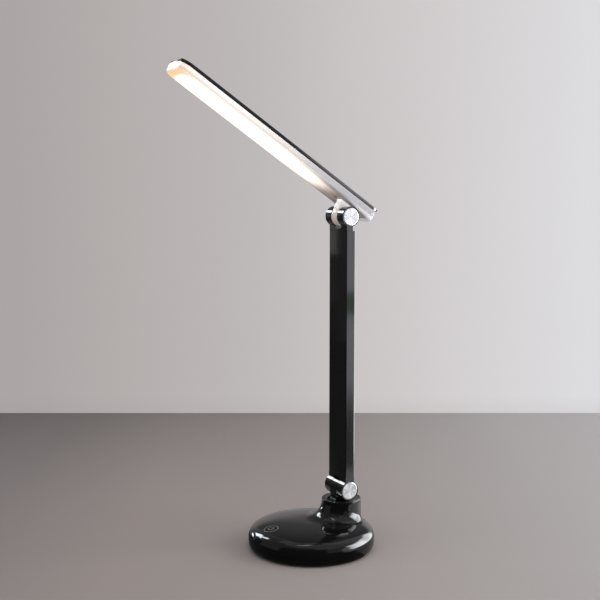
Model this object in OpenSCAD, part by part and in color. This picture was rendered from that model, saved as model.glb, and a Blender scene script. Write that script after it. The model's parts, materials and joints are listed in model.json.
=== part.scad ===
// Folding desk lamp with a lit head: weighted round base, swivelling post, two friction hinges.
// Frame: +Z up, -Y is the front (touch side), the hinge pins run along X.
// The origin is the centre of the base's underside.

/* [Base] */
// Diameter of the base at its widest ring
base_d = 130; // [112:1:170]
// Height of the domed top at the middle of the base
base_top = 28.2; // [27:0.2:38]
// Height of the widest ring
bulge_z = 9.5; // [9.5:0.5:12]
// How far the underside's edge lies inside the widest ring
foot_inset = 6.5; // [4:0.5:8]
// Height of the seam between the shell and the tray
seam_z = 9; // [8:0.5:9.5]
// Width of the seam's groove
seam_gap = 0.3; // [0.2:0.1:0.6]
// Wall of the shell and of the tray
base_wall = 2.5; // [2:0.1:3.5]
// Squareness of the shell's shoulder, smaller is squarer
shoulder_e = 0.45; // [0.4:0.01:0.6]
// Squareness of the tray's lower edge
foot_e = 0.9; // [0.7:0.02:1]
// Thickness of the anti-slip pad
pad_t = 1.5; // [1.2:0.1:2]
// Pocket in the tray that the pad sits in
pad_pocket = 0.7; // [0.5:0.1:1]
// Thickness of the tray's floor above the pocket
floor_t = 1.5; // [1.2:0.1:2.5]
// Thickness of the steel ballast plate
ballast_t = 10; // [6:0.5:11]

/* [Neck] */
// Diameter of the neck
neck_d = 40.9; // [36:0.1:46]
// Height of the neck's top
neck_top = 47.4; // [46:0.2:60]
// Gap from the neck's wall to the base's widest ring
neck_rim_gap = 9.05; // [8:0.05:20]
// Radius of the flare at the front of the neck
flare_front = 18; // [8:0.5:18]
// Radius of the flare at the back of the neck
flare_back = 4.5; // [2.5:0.5:6]
// Width of the neck's rim around the turret
rim_w = 2.2; // [1.6:0.1:3]
// Depth of the recess that the turret turns in
turret_t = 8.8; // [7:0.2:10]
// Thickness of the web that carries the turret
web_t = 2.8; // [2.4:0.2:4]
// Diameter of the turret's hollow stud
stud_d = 12; // [10:0.5:14]

/* [Hinges] */
// Height of the lower hinge's axis
lower_axis_z = 58.6; // [58.6:0.2:72]
// Diameter of the ears and knuckles
ear_d = 20.2; // [19.2:0.1:22]
// Width of the middle knuckle of a hinge
knuckle_w = 11; // [9:0.5:12.5]
// Diameter of the hinge bolts
bolt_d = 6; // [5:0.5:7]
// Diameter of the aluminium end caps
cap_d = 17.6; // [16:0.1:18]
// Thickness of the end caps
cap_t = 1.6; // [1.2:0.1:2]
// Thickness of a friction washer
washer_t = 0.5; // [0.4:0.1:0.8]
// Radius of the saddle between two ears
saddle_r = 12.6; // [12.4:0.1:14]

/* [Arm] */
// Distance between the two hinge axes
arm_l = 282; // [230:1:340]
// Width of the arm, along the hinge pins
arm_w = 35; // [34:0.5:42]
// Thickness of the arm
arm_t = 10.2; // [9:0.2:12]
// Wall of the arm's front shell
arm_wall = 2; // [1.6:0.1:2.5]
// Thickness of the arm's rear cover
cover_t = 1.6; // [1.2:0.1:2]
// Length of a fork from its hinge axis to its shoulder
fork_l = 14.5; // [14:0.5:20]
// Length of the tongue of a fork inside the arm
tongue_l = 26; // [18:1:40]
// How far the back of the upper fork steps in below its ears
fork_step = 2.6; // [0:0.2:3]

/* [Head] */
// Distance from the hinge axis to the head's tip
head_reach = 229.5; // [190:0.5:260]
// Distance from the hinge axis to the head's tail
head_tail = 24.5; // [23:0.5:30]
// Width of the head
head_w = 39.6; // [38:0.2:60]
// Corner radius at the head's tail, seen from above
head_r = 8.5; // [6:0.5:12]
// Corner radius at the head's tip, seen from above
tip_r = 14; // [9:0.5:17]
// Width of each rounded corner beside the tip's flat end face
tip_side = 5.8; // [4:0.2:8]
// Distance from the hinge axis to the head's underside
head_drop = 11.6; // [11:0.1:14]
// Height of the translucent frame
frame_h = 7.4; // [6.6:0.2:9]
// Thickness of the black top cover
cover_h = 3.6; // [3:0.1:5]
// Thickness of the frame's lip that closes the cover off at the tail
tail_lip = 3; // [2.4:0.2:4]
// Wall of the translucent frame
frame_wall = 1.9; // [1.5:0.1:2.5]
// Thickness of the diffuser
diffuser_t = 1.6; // [1.2:0.1:2]
// Angle of the head above the horizontal
head_angle = 33.8; // [20:0.2:50]
// Rows of light chips
led_rows = 2; // [1:1:3]
// Light chips in one row
led_count = 22; // [10:1:30]

/* [Fits] */
// Clearance between a turning shaft and its hole, on the radius
run_gap = 0.05; // [0.03:0.01:0.08]
// Clearance at a turning face
face_gap = 0.1; // [0.06:0.01:0.2]
// Clearance around a part that sits in a recess
seat_gap = 0.2; // [0.1:0.05:0.4]

/* [Hidden] */
$fn = 96;
eps = 0.01;

// Base
base_r = base_d / 2;
foot_r = base_r - foot_inset;
dome_h = base_top - bulge_z;
tray_z = pad_t - pad_pocket;
floor_z = pad_t + floor_t;
pad_r = foot_r - 4.5;
screw_ring_r = base_r - 12.5;
screw_angles = [35, 145, 215, 325];
boss_r = 3.8;
base_screw_d = 3;
base_screw_l = 14;
base_head_t = 1.8;
base_seat_z = pad_t + 2.2;
ballast_r = screw_ring_r - boss_r - 2.2;
ballast_rim_t = 1.2;
ballast_rim_h = 3;
ballast_hole_r = 5;
lip_t = 1.5;
lip_h = 2.4;

// Neck and turret
neck_r = neck_d / 2;
neck_y = base_r - neck_r - neck_rim_gap;
skin_sides = 84;
rim_chamfer = 0.6;
web_top = neck_top - turret_t;
web_bottom = web_top - web_t;
recess_r = neck_r - rim_w;
turret_r = recess_r - 0.3;
bearing_t = 0.7;
bearing_gap = 0.4;
stud_r = stud_d / 2;
swivel_washer_t = 1;
swivel_washer_r = stud_r + 4;
swivel_nut_t = 4.5;
swivel_nut_af = stud_d + 5;
nut_top = web_bottom - face_gap - swivel_washer_t;
stud_bottom = nut_top - swivel_nut_t - 1.2;
lead_r = 1.5;
head_lead_r = 1.05;
lead_bore_r = lead_r + 0.3;

// Hinges and arm
ear_r = ear_d / 2;
bolt_r = bolt_d / 2;
bore_r = bolt_r + run_gap;
slot_w = knuckle_w + 2 * washer_t + 2 * face_gap;
cap_r = cap_d / 2;
cap_seat_r = cap_r + 0.1;
well_r = cap_r - 1.4;
head_t = 2.8;
bolt_head_r = bolt_r + 2.1;
nut_t = 2.8;
nut_af = bolt_d + 4;
thread_gap = 0.02;
bolt_end = 0.2;
hex_depth = 1.6;
cap_bevel = 0.35;
cap_dish = 0.1;
arm_half = arm_w / 2;
seat_x = arm_half - cap_t;
well_x = seat_x - head_t - 0.3;
washer_r = ear_r - 1;
upper_z = lower_axis_z + arm_l;
shell_l = arm_l - 2 * fork_l;
ledge_w = 1;
ledge_t = 0.8;
tongue_w = arm_w - 2 * arm_wall - 2 * ledge_w - 2 * seat_gap;
tongue_front = arm_t / 2 - arm_wall;
tongue_back = arm_t / 2 - cover_t - ledge_t - seat_gap;
edge_r = 0.7;
arm_screw_d = 2.5;
arm_screw_x = tongue_w / 4 + 1;
arm_screw_z = fork_l + tongue_l - 7;
screw_skin = 0.8;

// Head, laid level with its tip towards -Y and the hinge axis at the origin
tip_cut = tip_r - sqrt(pow(tip_r, 2) - pow(tip_r - tip_side, 2));
tip_x = head_w / 2 - tip_r;
tip_y = tip_r - tip_cut - head_reach;
tail_x = head_w / 2 - head_r;
tail_y = head_tail - head_r;
seam_h = head_drop + frame_h;
head_top = seam_h + cover_h;
ledge_in = 1.4;
ledge_h = 1.2;
diffuser_z = head_drop + 0.2;
ledge_z = diffuser_z + diffuser_t;
window_inset = frame_wall;
flange_z = ledge_z + seat_gap;
flange_t = 2.2;
web_room = 0.3;
knuckle_back = 8;
knuckle_front = 13.5;
knuckle_lip = [ear_r - 0.6, 3];
knuckle_mid = [11.4, 6.2];
flange_w = head_w - 2 * (frame_wall + ledge_in) - 6;
flange_front = 22;
flange_back = 17;
spot_y = -17.6;
spot_r = 1;
spot_head = [2.3, 0.9];
led_start = 30;
led_board_t = 1;
chip = [3.5, 2.8, 0.7];
led_board_z = seam_h - 0.6 - led_board_t;
reflector_t = 0.4;
reflector_z = led_board_z - reflector_t;
led_margin = 4;
led_zone = head_reach - led_start - led_margin - 6;
led_pitch = led_zone / led_count;
led_row_gap = (head_w - 2 * frame_wall - 2 * ledge_in) / (led_rows + 1);
head_wall = 1.4;
draft = 0.9;
bevel = 1.2;
round_top = 0.8;
seam_bevel = 0.3;
rib_t = 1.2;
rib_count = 5;
rib_first = -led_start - 12;
rib_last = 18 - head_reach;
knuckle_screw_y = [-15, 11];
knuckle_screw_x = flange_w / 2 - 4;
knuckle_screw_r = 1.05;
knuckle_head_r = 1.3;
knuckle_boss_r = 3;

// Power inlet
inlet_z = 15;
inlet_nose_r = 4.6;
inlet_face_y = base_r - 1.4;
inlet_bore_r = 2.85;
inlet_bore_l = 3.2;
inlet_room_r = 3.3;
inlet_depth = 10;
inlet_body = [12, 8.5, 11.6];
inlet_back = inlet_face_y - inlet_depth - inlet_body[1] + 3;
inlet_pin_r = 1.05;
inlet_tail = 2.5;

// Control board
touch_inset = 18.6;
touch_y = touch_inset - base_r;
board = [40, 30, 1.6];
board_gap = 2.2;
board_z = floor_z + ballast_t + board_gap;
board_y = touch_y + board[1] / 2 - 4.6;
board_holes = [[16, 11.5], [-16, 11.5], [16, -11.5], [-16, -11.5]];
post_r = 2.6;
board_screw_d = 2.2;
board_screw_l = 7.5;
board_head_t = 1.5;
board_chips = [[-13.5, -3.5, 7, 7, 1.2], [-4, -1, 3, 1.6, 0.8], [-4, 3, 3, 1.6, 0.8]];
board_cans = [[7.5, -4, 3.5, 4], [8, 6.5, 2.8, 6.5]];
inlet_socket = [-12, 8];
lamp_socket = [-2, 6];
socket_y = 8.5;
socket_size = [5, 4.5];
spring_r = 3.2;
spring_wire = 0.4;
spring_turns = 6;
spring_steps = 12;

// --- curves -------------------------------------------------------------------------------

// Radius and height of the shell's superellipse dome, drawn in by a wall w
function dome_r(z, w = 0) =
    (base_r - w) * pow(max(1 - pow((z - bulge_z) / (dome_h - w), 2 / shoulder_e), 0), shoulder_e / 2);
function dome_z(r, w = 0) =
    bulge_z + (dome_h - w) * pow(max(1 - pow(r / (base_r - w), 2 / shoulder_e), 0), shoulder_e / 2);
// Radius of the base below its widest ring
function foot_curve(z) =
    foot_r + foot_inset * pow(1 - pow((bulge_z - z) / bulge_z, 2 / foot_e), foot_e / 2);
function side_r(z) = z < bulge_z ? foot_curve(z) : dome_r(z);

// The flare's radius turns smoothly from its front value to its back value, and the front one
// ends below the neck's rim
front_flare = min(flare_front, neck_top - rim_chamfer - base_top - 0.3);
function flare(a) = (front_flare + flare_back) / 2 - (front_flare - flare_back) / 2 * sin(a);
// Distance from the neck's axis to a circle r about the base's axis, in direction a
function reach(a, r) = -neck_y * sin(a) + sqrt(pow(neck_y * sin(a), 2) - pow(neck_y, 2) + r * r);
function from_neck(a, rho) = [rho * cos(a), neck_y + rho * sin(a)];
function on_dome(a, rho, lift) =
    let (p = from_neck(a, rho)) [p[0], p[1], dome_z(norm(p)) + lift];

function arc_pts(c, r, a0, a1, n) = [for (i = [0:n]) let (a = a0 + (a1 - a0) * i / n)
    [c[0] + r * cos(a), c[1] + r * sin(a)]];

// --- shared shapes ------------------------------------------------------------------------

module along_x(r, l, c = [0, 0, 0]) {
    translate(c) rotate([0, 90, 0]) cylinder(r = r, h = l, center = true);
}

module along_y(r, y0, y1, x = 0, z = 0) {
    translate([x, y0, z]) rotate([-90, 0, 0]) cylinder(r = r, h = y1 - y0);
}

module pipe(r, bore, h) {
    difference() {
        cylinder(r = r, h = h);
        translate([0, 0, -eps]) cylinder(r = bore, h = h + 2 * eps);
    }
}

// Rounded rectangle, its middle at the origin
module round_rect(l, w, r) {
    square([l - 2 * r, w], center = true);
    square([l, w - 2 * r], center = true);
    for (x = [-1, 1], y = [-1, 1]) translate([x * (l / 2 - r), y * (w / 2 - r)]) circle(r);
}

// The head's outline from above, drawn in by inset: round corners, wider ones at the tip, where
// a flat end face cuts them short
module head_plan(inset) {
    side = head_w / 2 - inset;
    difference() {
        union() {
            translate([-side, tip_y]) square([2 * side, tail_y - tip_y]);
            translate([-tail_x, 0]) square([2 * tail_x, head_tail - inset]);
            translate([-tip_x, inset - head_reach - tip_cut]) square([2 * tip_x, head_reach]);
            for (s = [-1, 1]) {
                translate([s * tail_x, tail_y]) circle(head_r - inset);
                translate([s * tip_x, tip_y]) circle(tip_r - inset);
            }
        }
        translate([-head_w, inset - head_reach - head_w]) square([2 * head_w, head_w]);
    }
}

module head_slab(inset, z, h) {
    translate([0, 0, z]) linear_extrude(h) head_plan(inset);
}

// Sweeps a section round the same outline: drawn out along the sides and the tail, turned at the
// corners and drawn out across the tip, which cuts its corners. The section is drawn upright,
// its middle at x = 0 and its outer edge at x = $half.
module head_sweep(z) {
    translate([0, 0, z]) {
        for (s = [0, 1]) mirror([s, 0, 0]) translate([0, tail_y, 0]) rotate([90, 0, 0])
            linear_extrude(tail_y - tip_y) let ($half = head_w / 2) children();
        rotate([90, 0, 90]) linear_extrude(2 * tail_x, center = true)
            let ($half = head_tail) children();
        for (s = [-1, 1]) translate([s * tail_x, tail_y, 0])
            rotate_extrude() let ($half = head_r) children();
        intersection() {
            union() {
                mirror([0, 1, 0]) rotate([90, 0, 90]) linear_extrude(2 * tip_x, center = true)
                    let ($half = head_reach + tip_cut) children();
                for (s = [-1, 1]) translate([s * tip_x, tip_y, 0])
                    rotate_extrude() let ($half = tip_r) children();
            }
            mirror([0, 1, 0]) rotate([90, 0, 90]) linear_extrude(2 * head_w, center = true)
                let ($half = head_reach) children();
        }
    }
}

// A strip inside the head from the start of the lit part to near the tip
module light_strip(inset, z, h) {
    intersection() {
        head_slab(inset, z, h);
        translate([-head_w, -head_reach - 1, z - 1]) cube([2 * head_w, head_reach + 1 - led_start, h + 2]);
    }
}

// A round lead through a list of points
module lead(pts, r = lead_r) {
    sides = 8;
    n = len(pts);
    function unit(v) = v / norm(v);
    dirs = [for (i = [0:n - 1]) unit(pts[min(i + 1, n - 1)] - pts[max(i - 1, 0)])];
    function side_of(d) = unit(cross(d, abs(d[0]) > 0.9 ? [0, 1, 0] : [1, 0, 0]));
    ring = [for (i = [0:n - 1]) let (u = side_of(dirs[i]), v = cross(dirs[i], u))
        for (k = [0:sides - 1]) pts[i] + r * (cos(360 * k / sides) * u + sin(360 * k / sides) * v)];
    polyhedron(ring, concat(
        [[for (k = [0:sides - 1]) k]],
        [for (i = [0:n - 2], k = [0:sides - 1]) let (m = (k + 1) % sides)
            [i * sides + m, i * sides + k, (i + 1) * sides + k, (i + 1) * sides + m]],
        [[for (k = [sides - 1:-1:0]) (n - 1) * sides + k]]));
}

// A smooth curve through points: Catmull-Rom, with n steps in each span
function spline(p, n) = [for (i = [0:len(p) - 2], k = [0:n - 1])
    let (a = p[max(i - 1, 0)], b = p[i], c = p[i + 1], d = p[min(i + 2, len(p) - 1)], t = k / n)
    0.5 * (2 * b + (c - a) * t + (2 * a - 5 * b + 4 * c - d) * t * t
        + (3 * b - a - 3 * c + d) * t * t * t), p[len(p) - 1]];

module at_screws() {
    for (a = screw_angles) rotate(a) translate([screw_ring_r, 0, 0]) children();
}

module at_knuckle_screws() {
    for (x = [-1, 1], y = knuckle_screw_y) translate([x * knuckle_screw_x, y, 0]) children();
}

module at_board_holes() {
    for (p = board_holes) translate([p[0], board_y + p[1], 0]) children();
}

// --- base ---------------------------------------------------------------------------------

// Outer skin of the shell: rings from the neck's top, down the wall and the variable flare,
// over the dome and shoulder, to the seam
module base_skin() {
    shoulder_start = 0.925 * base_r;
    steep_z = dome_z(shoulder_start);
    angles = [for (i = [0:skin_sides - 1]) let (b = 360 * i / skin_sides)
        atan2(base_r * sin(b) - neck_y, base_r * cos(b))];
    flare_steps = [90:-10:0];
    dome_steps = [0.25, 0.5, 0.75, 1];
    side_steps = [0.04, 0.1, 0.19, 0.31, 0.46, 0.64, 0.84];
    rings = concat(
        [[for (a = angles) concat(from_neck(a, neck_r - rim_chamfer), neck_top)]],
        [[for (a = angles) concat(from_neck(a, neck_r), neck_top - rim_chamfer)]],
        [for (f = flare_steps) [for (a = angles)
            on_dome(a, neck_r + flare(a) * (1 - sin(f)), flare(a) * (1 - cos(f)))]],
        [for (s = dome_steps) [for (a = angles)
            let (near = neck_r + flare(a), far = reach(a, shoulder_start))
            on_dome(a, near + (far - near) * s, 0)]],
        [for (s = side_steps) let (z = steep_z + (bulge_z - steep_z) * s)
            [for (a = angles) concat(from_neck(a, reach(a, side_r(z))), z)]],
        [for (z = [bulge_z, seam_z]) [for (a = angles)
            concat(from_neck(a, reach(a, side_r(z))), z)]]);
    n = skin_sides;
    polyhedron([for (ring = rings, p = ring) p], concat(
        [[for (k = [n - 1:-1:0]) k]],
        [for (i = [0:len(rings) - 2], k = [0:n - 1]) let (m = (k + 1) % n)
            [i * n + k, i * n + m, (i + 1) * n + m, (i + 1) * n + k]],
        [[for (k = [0:n - 1]) (len(rings) - 1) * n + k]]));
}

module base_cavity() {
    low = seam_z - 1;
    inner = base_r - base_wall;
    top = base_top - base_wall;
    steps = 14;
    rotate_extrude() polygon(concat(
        [[0, low], [inner, low]],
        [for (i = [0:steps]) let (t = 90 * i / steps)
            [inner * pow(cos(t), shoulder_e), bulge_z + (top - bulge_z) * pow(sin(t), shoulder_e)]]));
    translate([0, neck_y, low]) cylinder(r = recess_r - 1, h = web_bottom - low);
}

module base_shell() {
    color("#141417") difference() {
        base_skin();
        difference() {
            base_cavity();
            at_screws() cylinder(r = boss_r, h = base_top);
            at_board_holes() translate([0, 0, board_z + board[2]]) cylinder(r = post_r, h = base_top);
        }
        translate([0, 0, seam_z - 2]) at_screws() cylinder(r = base_screw_d / 2 + run_gap, h = 14);
        at_board_holes() translate([0, 0, board_z]) cylinder(r = board_screw_d / 2 + run_gap, h = 8);
        translate([0, neck_y, web_top]) cylinder(r = recess_r, h = turret_t + 1);
        translate([0, neck_y, web_bottom - 1]) cylinder(r = stud_r + run_gap, h = web_t + 2);
        along_y(inlet_nose_r + seat_gap, base_r - 9, base_r + 4, z = inlet_z);
    }
}

module base_tray() {
    rim = seam_z - seam_gap;
    steps = 9;
    lip_r = base_r - base_wall - seat_gap;
    color("#161619") difference() {
        union() {
            rotate_extrude() polygon(concat(
                [[0, tray_z]],
                [for (i = [0:steps]) let (z = tray_z + (rim - tray_z) * pow(i / steps, 2))
                    [foot_curve(z), z]],
                [[lip_r, rim], [lip_r, seam_z + lip_h], [lip_r - lip_t, seam_z + lip_h],
                 [lip_r - lip_t, rim - 2], [foot_r - base_wall, floor_z], [0, floor_z]]));
            translate([0, 0, floor_z - eps]) pipe(
                ballast_r + seat_gap + ballast_rim_t, ballast_r + seat_gap, ballast_rim_h);
            at_screws() translate([0, 0, pad_t]) cylinder(r = boss_r, h = seam_z - pad_t);
            translate([-inlet_body[0] / 2, inlet_back, floor_z - eps])
                cube([inlet_body[0], inlet_body[1], inlet_z - inlet_body[2] / 2 - floor_z + eps]);
        }
        translate([0, 0, tray_z - 1]) cylinder(r = pad_r + 2 * seat_gap, h = pad_pocket + 1);
        along_y(inlet_nose_r + seat_gap, base_r - 9, base_r, z = inlet_z);
        at_screws() {
            translate([0, 0, tray_z]) cylinder(r = base_screw_d, h = base_seat_z - tray_z);
            translate([0, 0, pad_t]) cylinder(r = base_screw_d / 2 + seat_gap, h = seam_z);
        }
    }
}

module anti_slip_pad() {
    color("#2b2b2d") cylinder(r = pad_r, h = pad_t);
}

module ballast_plate() {
    color("#8b8d90") translate([0, 0, floor_z]) difference() {
        cylinder(r = ballast_r, h = ballast_t);
        translate([0, 0, -1]) cylinder(r = ballast_hole_r, h = ballast_t + 2);
    }
}

module base_screws() {
    color("#b8b9bb") at_screws() {
        translate([0, 0, base_seat_z - base_head_t])
            cylinder(r = base_screw_d - 0.3, h = base_head_t);
        translate([0, 0, base_seat_z - eps]) cylinder(r = base_screw_d / 2, h = base_screw_l);
    }
}

// --- electrics in the base ----------------------------------------------------------------

module control_board() {
    color("#1f5c3a") translate([0, board_y, board_z]) difference() {
        translate([-board[0] / 2, -board[1] / 2, 0]) cube(board);
        for (p = board_holes) translate([p[0], p[1], -1])
            cylinder(r = board_screw_d / 2 + seat_gap, h = board[2] + 2);
    }
}

module board_parts() {
    color("#3a3a3c") translate([0, board_y, board_z + board[2]]) {
        for (c = board_chips) translate([c[0], c[1], 0]) cube([c[2], c[3], c[4]]);
        for (c = board_cans) translate([c[0], c[1], 0]) cylinder(r = c[2], h = c[3]);
        for (s = [inlet_socket, lamp_socket]) translate([s[0], socket_y, 0])
            cube([s[1], socket_size[0], socket_size[1]]);
    }
}

module board_screws() {
    color("#b8b9bb") at_board_holes() {
        translate([0, 0, board_z - board_head_t])
            cylinder(r = board_screw_d - 0.2, h = board_head_t);
        translate([0, 0, board_z - eps]) cylinder(r = board_screw_d / 2, h = board_screw_l);
    }
}

// The coil stands on the board and presses on the shell under the touch mark
module touch_spring() {
    foot = board_z + board[2] + spring_wire;
    top = dome_z(-touch_y + spring_r, base_wall) - spring_wire - seat_gap;
    n = spring_turns * spring_steps;
    color("#c9a35a") lead([for (i = [0:n]) let (a = 360 * i / spring_steps)
        [spring_r * cos(a), touch_y + spring_r * sin(a), foot + (top - foot) * i / n]], spring_wire);
}

module inlet_housing() {
    color("#1b1b1d") difference() {
        union() {
            translate([-inlet_body[0] / 2, inlet_back, inlet_z - inlet_body[2] / 2])
                cube(inlet_body);
            along_y(inlet_nose_r, inlet_back + inlet_body[1] - 1, inlet_face_y, z = inlet_z);
        }
        along_y(inlet_bore_r, inlet_face_y - inlet_bore_l - eps, inlet_face_y + 1, z = inlet_z);
        along_y(inlet_room_r, inlet_face_y - inlet_depth, inlet_face_y - inlet_bore_l, z = inlet_z);
        along_y(inlet_pin_r, inlet_back - 1, inlet_face_y - inlet_depth + 1, z = inlet_z);
    }
}

module inlet_pin() {
    color("#d0cfc9") along_y(inlet_pin_r, inlet_back - inlet_tail,
        inlet_face_y - inlet_bore_l - 0.3, z = inlet_z);
}

// Where a lead enters the back of a socket on the board
function plug_at(socket) = [socket[0] + socket[1] / 2, board_y + socket_y + socket_size[0] + 0.3,
    board_z + board[2] + socket_size[1] / 2];

module inlet_lead() {
    start = inlet_back - inlet_tail - 0.7;
    over = floor_z + ballast_t + lead_r + 0.3;
    plug = plug_at(inlet_socket);
    color("#202022") lead(spline([[0, start, inlet_z], [3, start - 5, inlet_z],
        [15, start - 18, over], [20, start - 40, over], [8, board_y + 30, over],
        plug + [0, 8, -1], plug], 4));
}

module lamp_lead() {
    plug = plug_at(lamp_socket);
    color("#202022") lead(spline([plug, plug + [0, 4, 0.3], plug + [0, 10, 1],
        [0, neck_y - 26, board_z + 7], [0, neck_y - 6, stud_bottom - 10],
        [0, neck_y, stud_bottom - 4], [0, neck_y, stud_bottom - 0.3]], 4));
}

// --- turret -------------------------------------------------------------------------------

module swivel_bearing() {
    color("#e8e6df") translate([0, neck_y, web_top]) 
        pipe(turret_r - bearing_gap, stud_r + bearing_gap, bearing_t);
}

// Half-round top and straight sides of the post, seen along the pin
module post_outline(bottom) {
    intersection() {
        circle(ear_r);
        translate([-ear_r, 0]) square([2 * ear_r, ear_r]);
    }
    translate([-ear_r, bottom]) square([2 * ear_r, -bottom]);
}

module swivel_post() {
    disc_z = web_top + bearing_t + face_gap;
    color("#141417") translate([0, neck_y, 0]) difference() {
        union() {
            translate([0, 0, disc_z]) cylinder(r = turret_r, h = neck_top - disc_z);
            translate([0, 0, stud_bottom]) cylinder(r = stud_r, h = disc_z - stud_bottom + 1);
            translate([-knuckle_w / 2, 0, lower_axis_z]) rotate([90, 0, 90])
                linear_extrude(knuckle_w) post_outline(neck_top - 1 - lower_axis_z);
        }
        along_x(bore_r, knuckle_w + 2, [0, 0, lower_axis_z]);
        translate([0, 0, stud_bottom - 1]) cylinder(r = lead_bore_r, h = lower_axis_z - stud_bottom);
    }
}

module swivel_washer() {
    color("#c4c5c7") translate([0, neck_y, nut_top])
        pipe(swivel_washer_r, stud_r + 2 * run_gap, swivel_washer_t);
}

module swivel_nut() {
    color("#c4c5c7") translate([0, neck_y, nut_top - swivel_nut_t]) difference() {
        cylinder(r = swivel_nut_af / 2 / cos(30), h = swivel_nut_t, $fn = 6);
        translate([0, 0, -1]) cylinder(r = stud_r + thread_gap, h = swivel_nut_t + 2);
    }
}

// --- hinges, drawn with the axis at the origin --------------------------------------------

module hinge_bolt() {
    past = nut_t + bolt_end;
    color("#9a9c9f") difference() {
        union() {
            along_x(bolt_head_r, head_t, [well_x + head_t / 2, 0, 0]);
            along_x(bolt_r, 2 * well_x + past, [eps - past / 2, 0, 0]);
        }
        translate([well_x + head_t - hex_depth, 0, 0]) rotate([0, 90, 0])
            cylinder(r = bolt_r * 0.62 / cos(30), h = 2 * hex_depth, $fn = 6);
    }
}

module hinge_nut() {
    color("#9a9c9f") translate([-well_x - nut_t, 0, 0]) rotate([0, 90, 0]) difference() {
        cylinder(r = nut_af / 2 / cos(30), h = nut_t, $fn = 6);
        translate([0, 0, -1]) cylinder(r = bolt_r + thread_gap, h = nut_t + 2);
    }
}

module hinge_washers() {
    color("#2a2a2c") for (s = [0, 1]) mirror([s, 0, 0])
        translate([slot_w / 2 - washer_t, 0, 0]) rotate([0, 90, 0])
            pipe(washer_r, bolt_r + 0.1, washer_t);
}

// Turned disc with a bevelled edge and a shallow dish
module hinge_caps() {
    color("#dfe1e4") for (s = [0, 1]) mirror([s, 0, 0]) translate([seat_x, 0, 0])
        rotate([0, 90, 0]) rotate_extrude() polygon([[0, 0], [cap_r, 0],
            [cap_r, cap_t - cap_bevel], [cap_r - cap_bevel, cap_t],
            [cap_r * 0.12, cap_t - cap_dish], [0, cap_t - cap_dish]]);
}

// One end of the arm: two round ears, a saddle between them and a tongue for the shell.
// The arm runs along +Z from the axis; step draws the back in below the ears.
module fork(step) {
    depth = arm_t / 2;
    difference() {
        union() {
            translate([-arm_half, 0, 0]) rotate([90, 0, 90]) linear_extrude(arm_w) {
                circle(ear_r);
                translate([-depth, 0]) square([arm_t - step, fork_l]);
            }
            translate([-tongue_w / 2, -tongue_front, fork_l - 1])
                cube([tongue_w, tongue_front + tongue_back, tongue_l + 1]);
        }
        along_x(saddle_r, slot_w);
        along_x(bore_r, arm_w + 2);
        for (s = [-1, 1]) {
            along_x(well_r, arm_half - well_x, [s * (arm_half + well_x) / 2, 0, 0]);
            along_x(cap_seat_r, cap_t + 1, [s * (seat_x + (cap_t + 1) / 2), 0, 0]);
            translate([s * arm_screw_x, 0, arm_screw_z]) rotate([90, 0, 0])
                cylinder(r = arm_screw_d / 2 + run_gap, h = arm_t, center = true);
        }
        translate([0, 0, saddle_r - 2]) cylinder(r = lead_bore_r, h = fork_l + tongue_l);
    }
}

// --- arm ----------------------------------------------------------------------------------

// Cross-section of the arm with slightly rounded edges
module arm_outline() {
    round_rect(arm_w, arm_t, edge_r);
}

module arm_place() {
    translate([0, neck_y, lower_axis_z]) children();
}

module upper_place() {
    translate([0, neck_y, upper_z]) mirror([0, 0, 1]) children();
}

module arm_front_shell() {
    inner = arm_half - arm_wall;
    back = arm_t / 2;
    color("#141417") arm_place() difference() {
        translate([0, 0, fork_l]) linear_extrude(shell_l) difference() {
            arm_outline();
            translate([-inner, back - cover_t]) square([2 * inner, arm_t]);
            translate([-inner, -back + arm_wall])
                square([2 * inner, arm_t - arm_wall - cover_t - ledge_t]);
            translate([-inner + ledge_w, 0]) square([2 * (inner - ledge_w), arm_t]);
        }
        for (s = [-1, 1], z = [arm_screw_z, arm_l - arm_screw_z])
            along_y(arm_screw_d / 2 + run_gap, screw_skin - back, back, s * arm_screw_x, z);
    }
}

module arm_rear_cover() {
    inner = arm_half - arm_wall - seat_gap / 2;
    back = arm_t / 2;
    color("#141417") arm_place() translate([0, 0, fork_l + seat_gap / 2])
        linear_extrude(shell_l - seat_gap) translate([-inner, back - cover_t])
            square([2 * inner, cover_t]);
}

module lower_fork() {
    color("#161619") arm_place() fork(0);
}

module upper_fork() {
    color("#161619") upper_place() fork(fork_step);
}

module arm_screws() {
    color("#b8b9bb") arm_place() for (s = [-1, 1], z = [arm_screw_z, arm_l - arm_screw_z])
        translate([s * arm_screw_x, 0, z]) {
            along_y(arm_screw_d / 2, screw_skin + face_gap - arm_t / 2, tongue_back + eps);
            along_y(arm_screw_d - 0.3, tongue_back, tongue_back + ledge_t);
        }
}

module arm_lead() {
    gap = saddle_r + 0.6;
    color("#202022") arm_place() translate([0, 0, gap]) cylinder(r = lead_r, h = arm_l - 2 * gap, $fn = 24);
}

module lower_hinge_bolt() { arm_place() hinge_bolt(); }
module lower_hinge_nut() { arm_place() hinge_nut(); }
module lower_hinge_washers() { arm_place() hinge_washers(); }
module lower_hinge_caps() { arm_place() hinge_caps(); }
module upper_hinge_bolt() { upper_place() hinge_bolt(); }
module upper_hinge_nut() { upper_place() hinge_nut(); }
module upper_hinge_washers() { upper_place() hinge_washers(); }
module upper_hinge_caps() { upper_place() hinge_caps(); }

// --- head ---------------------------------------------------------------------------------

module head_place() {
    translate([0, neck_y, upper_z]) rotate([-head_angle, 0, 0]) children();
}

// Everything beyond the cover's end at the tail, above height z
module tail_end(z, gap = 0) {
    translate([-head_w, head_tail - tail_lip - gap, z]) cube([2 * head_w, 2 * tail_lip, head_top]);
}

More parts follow.
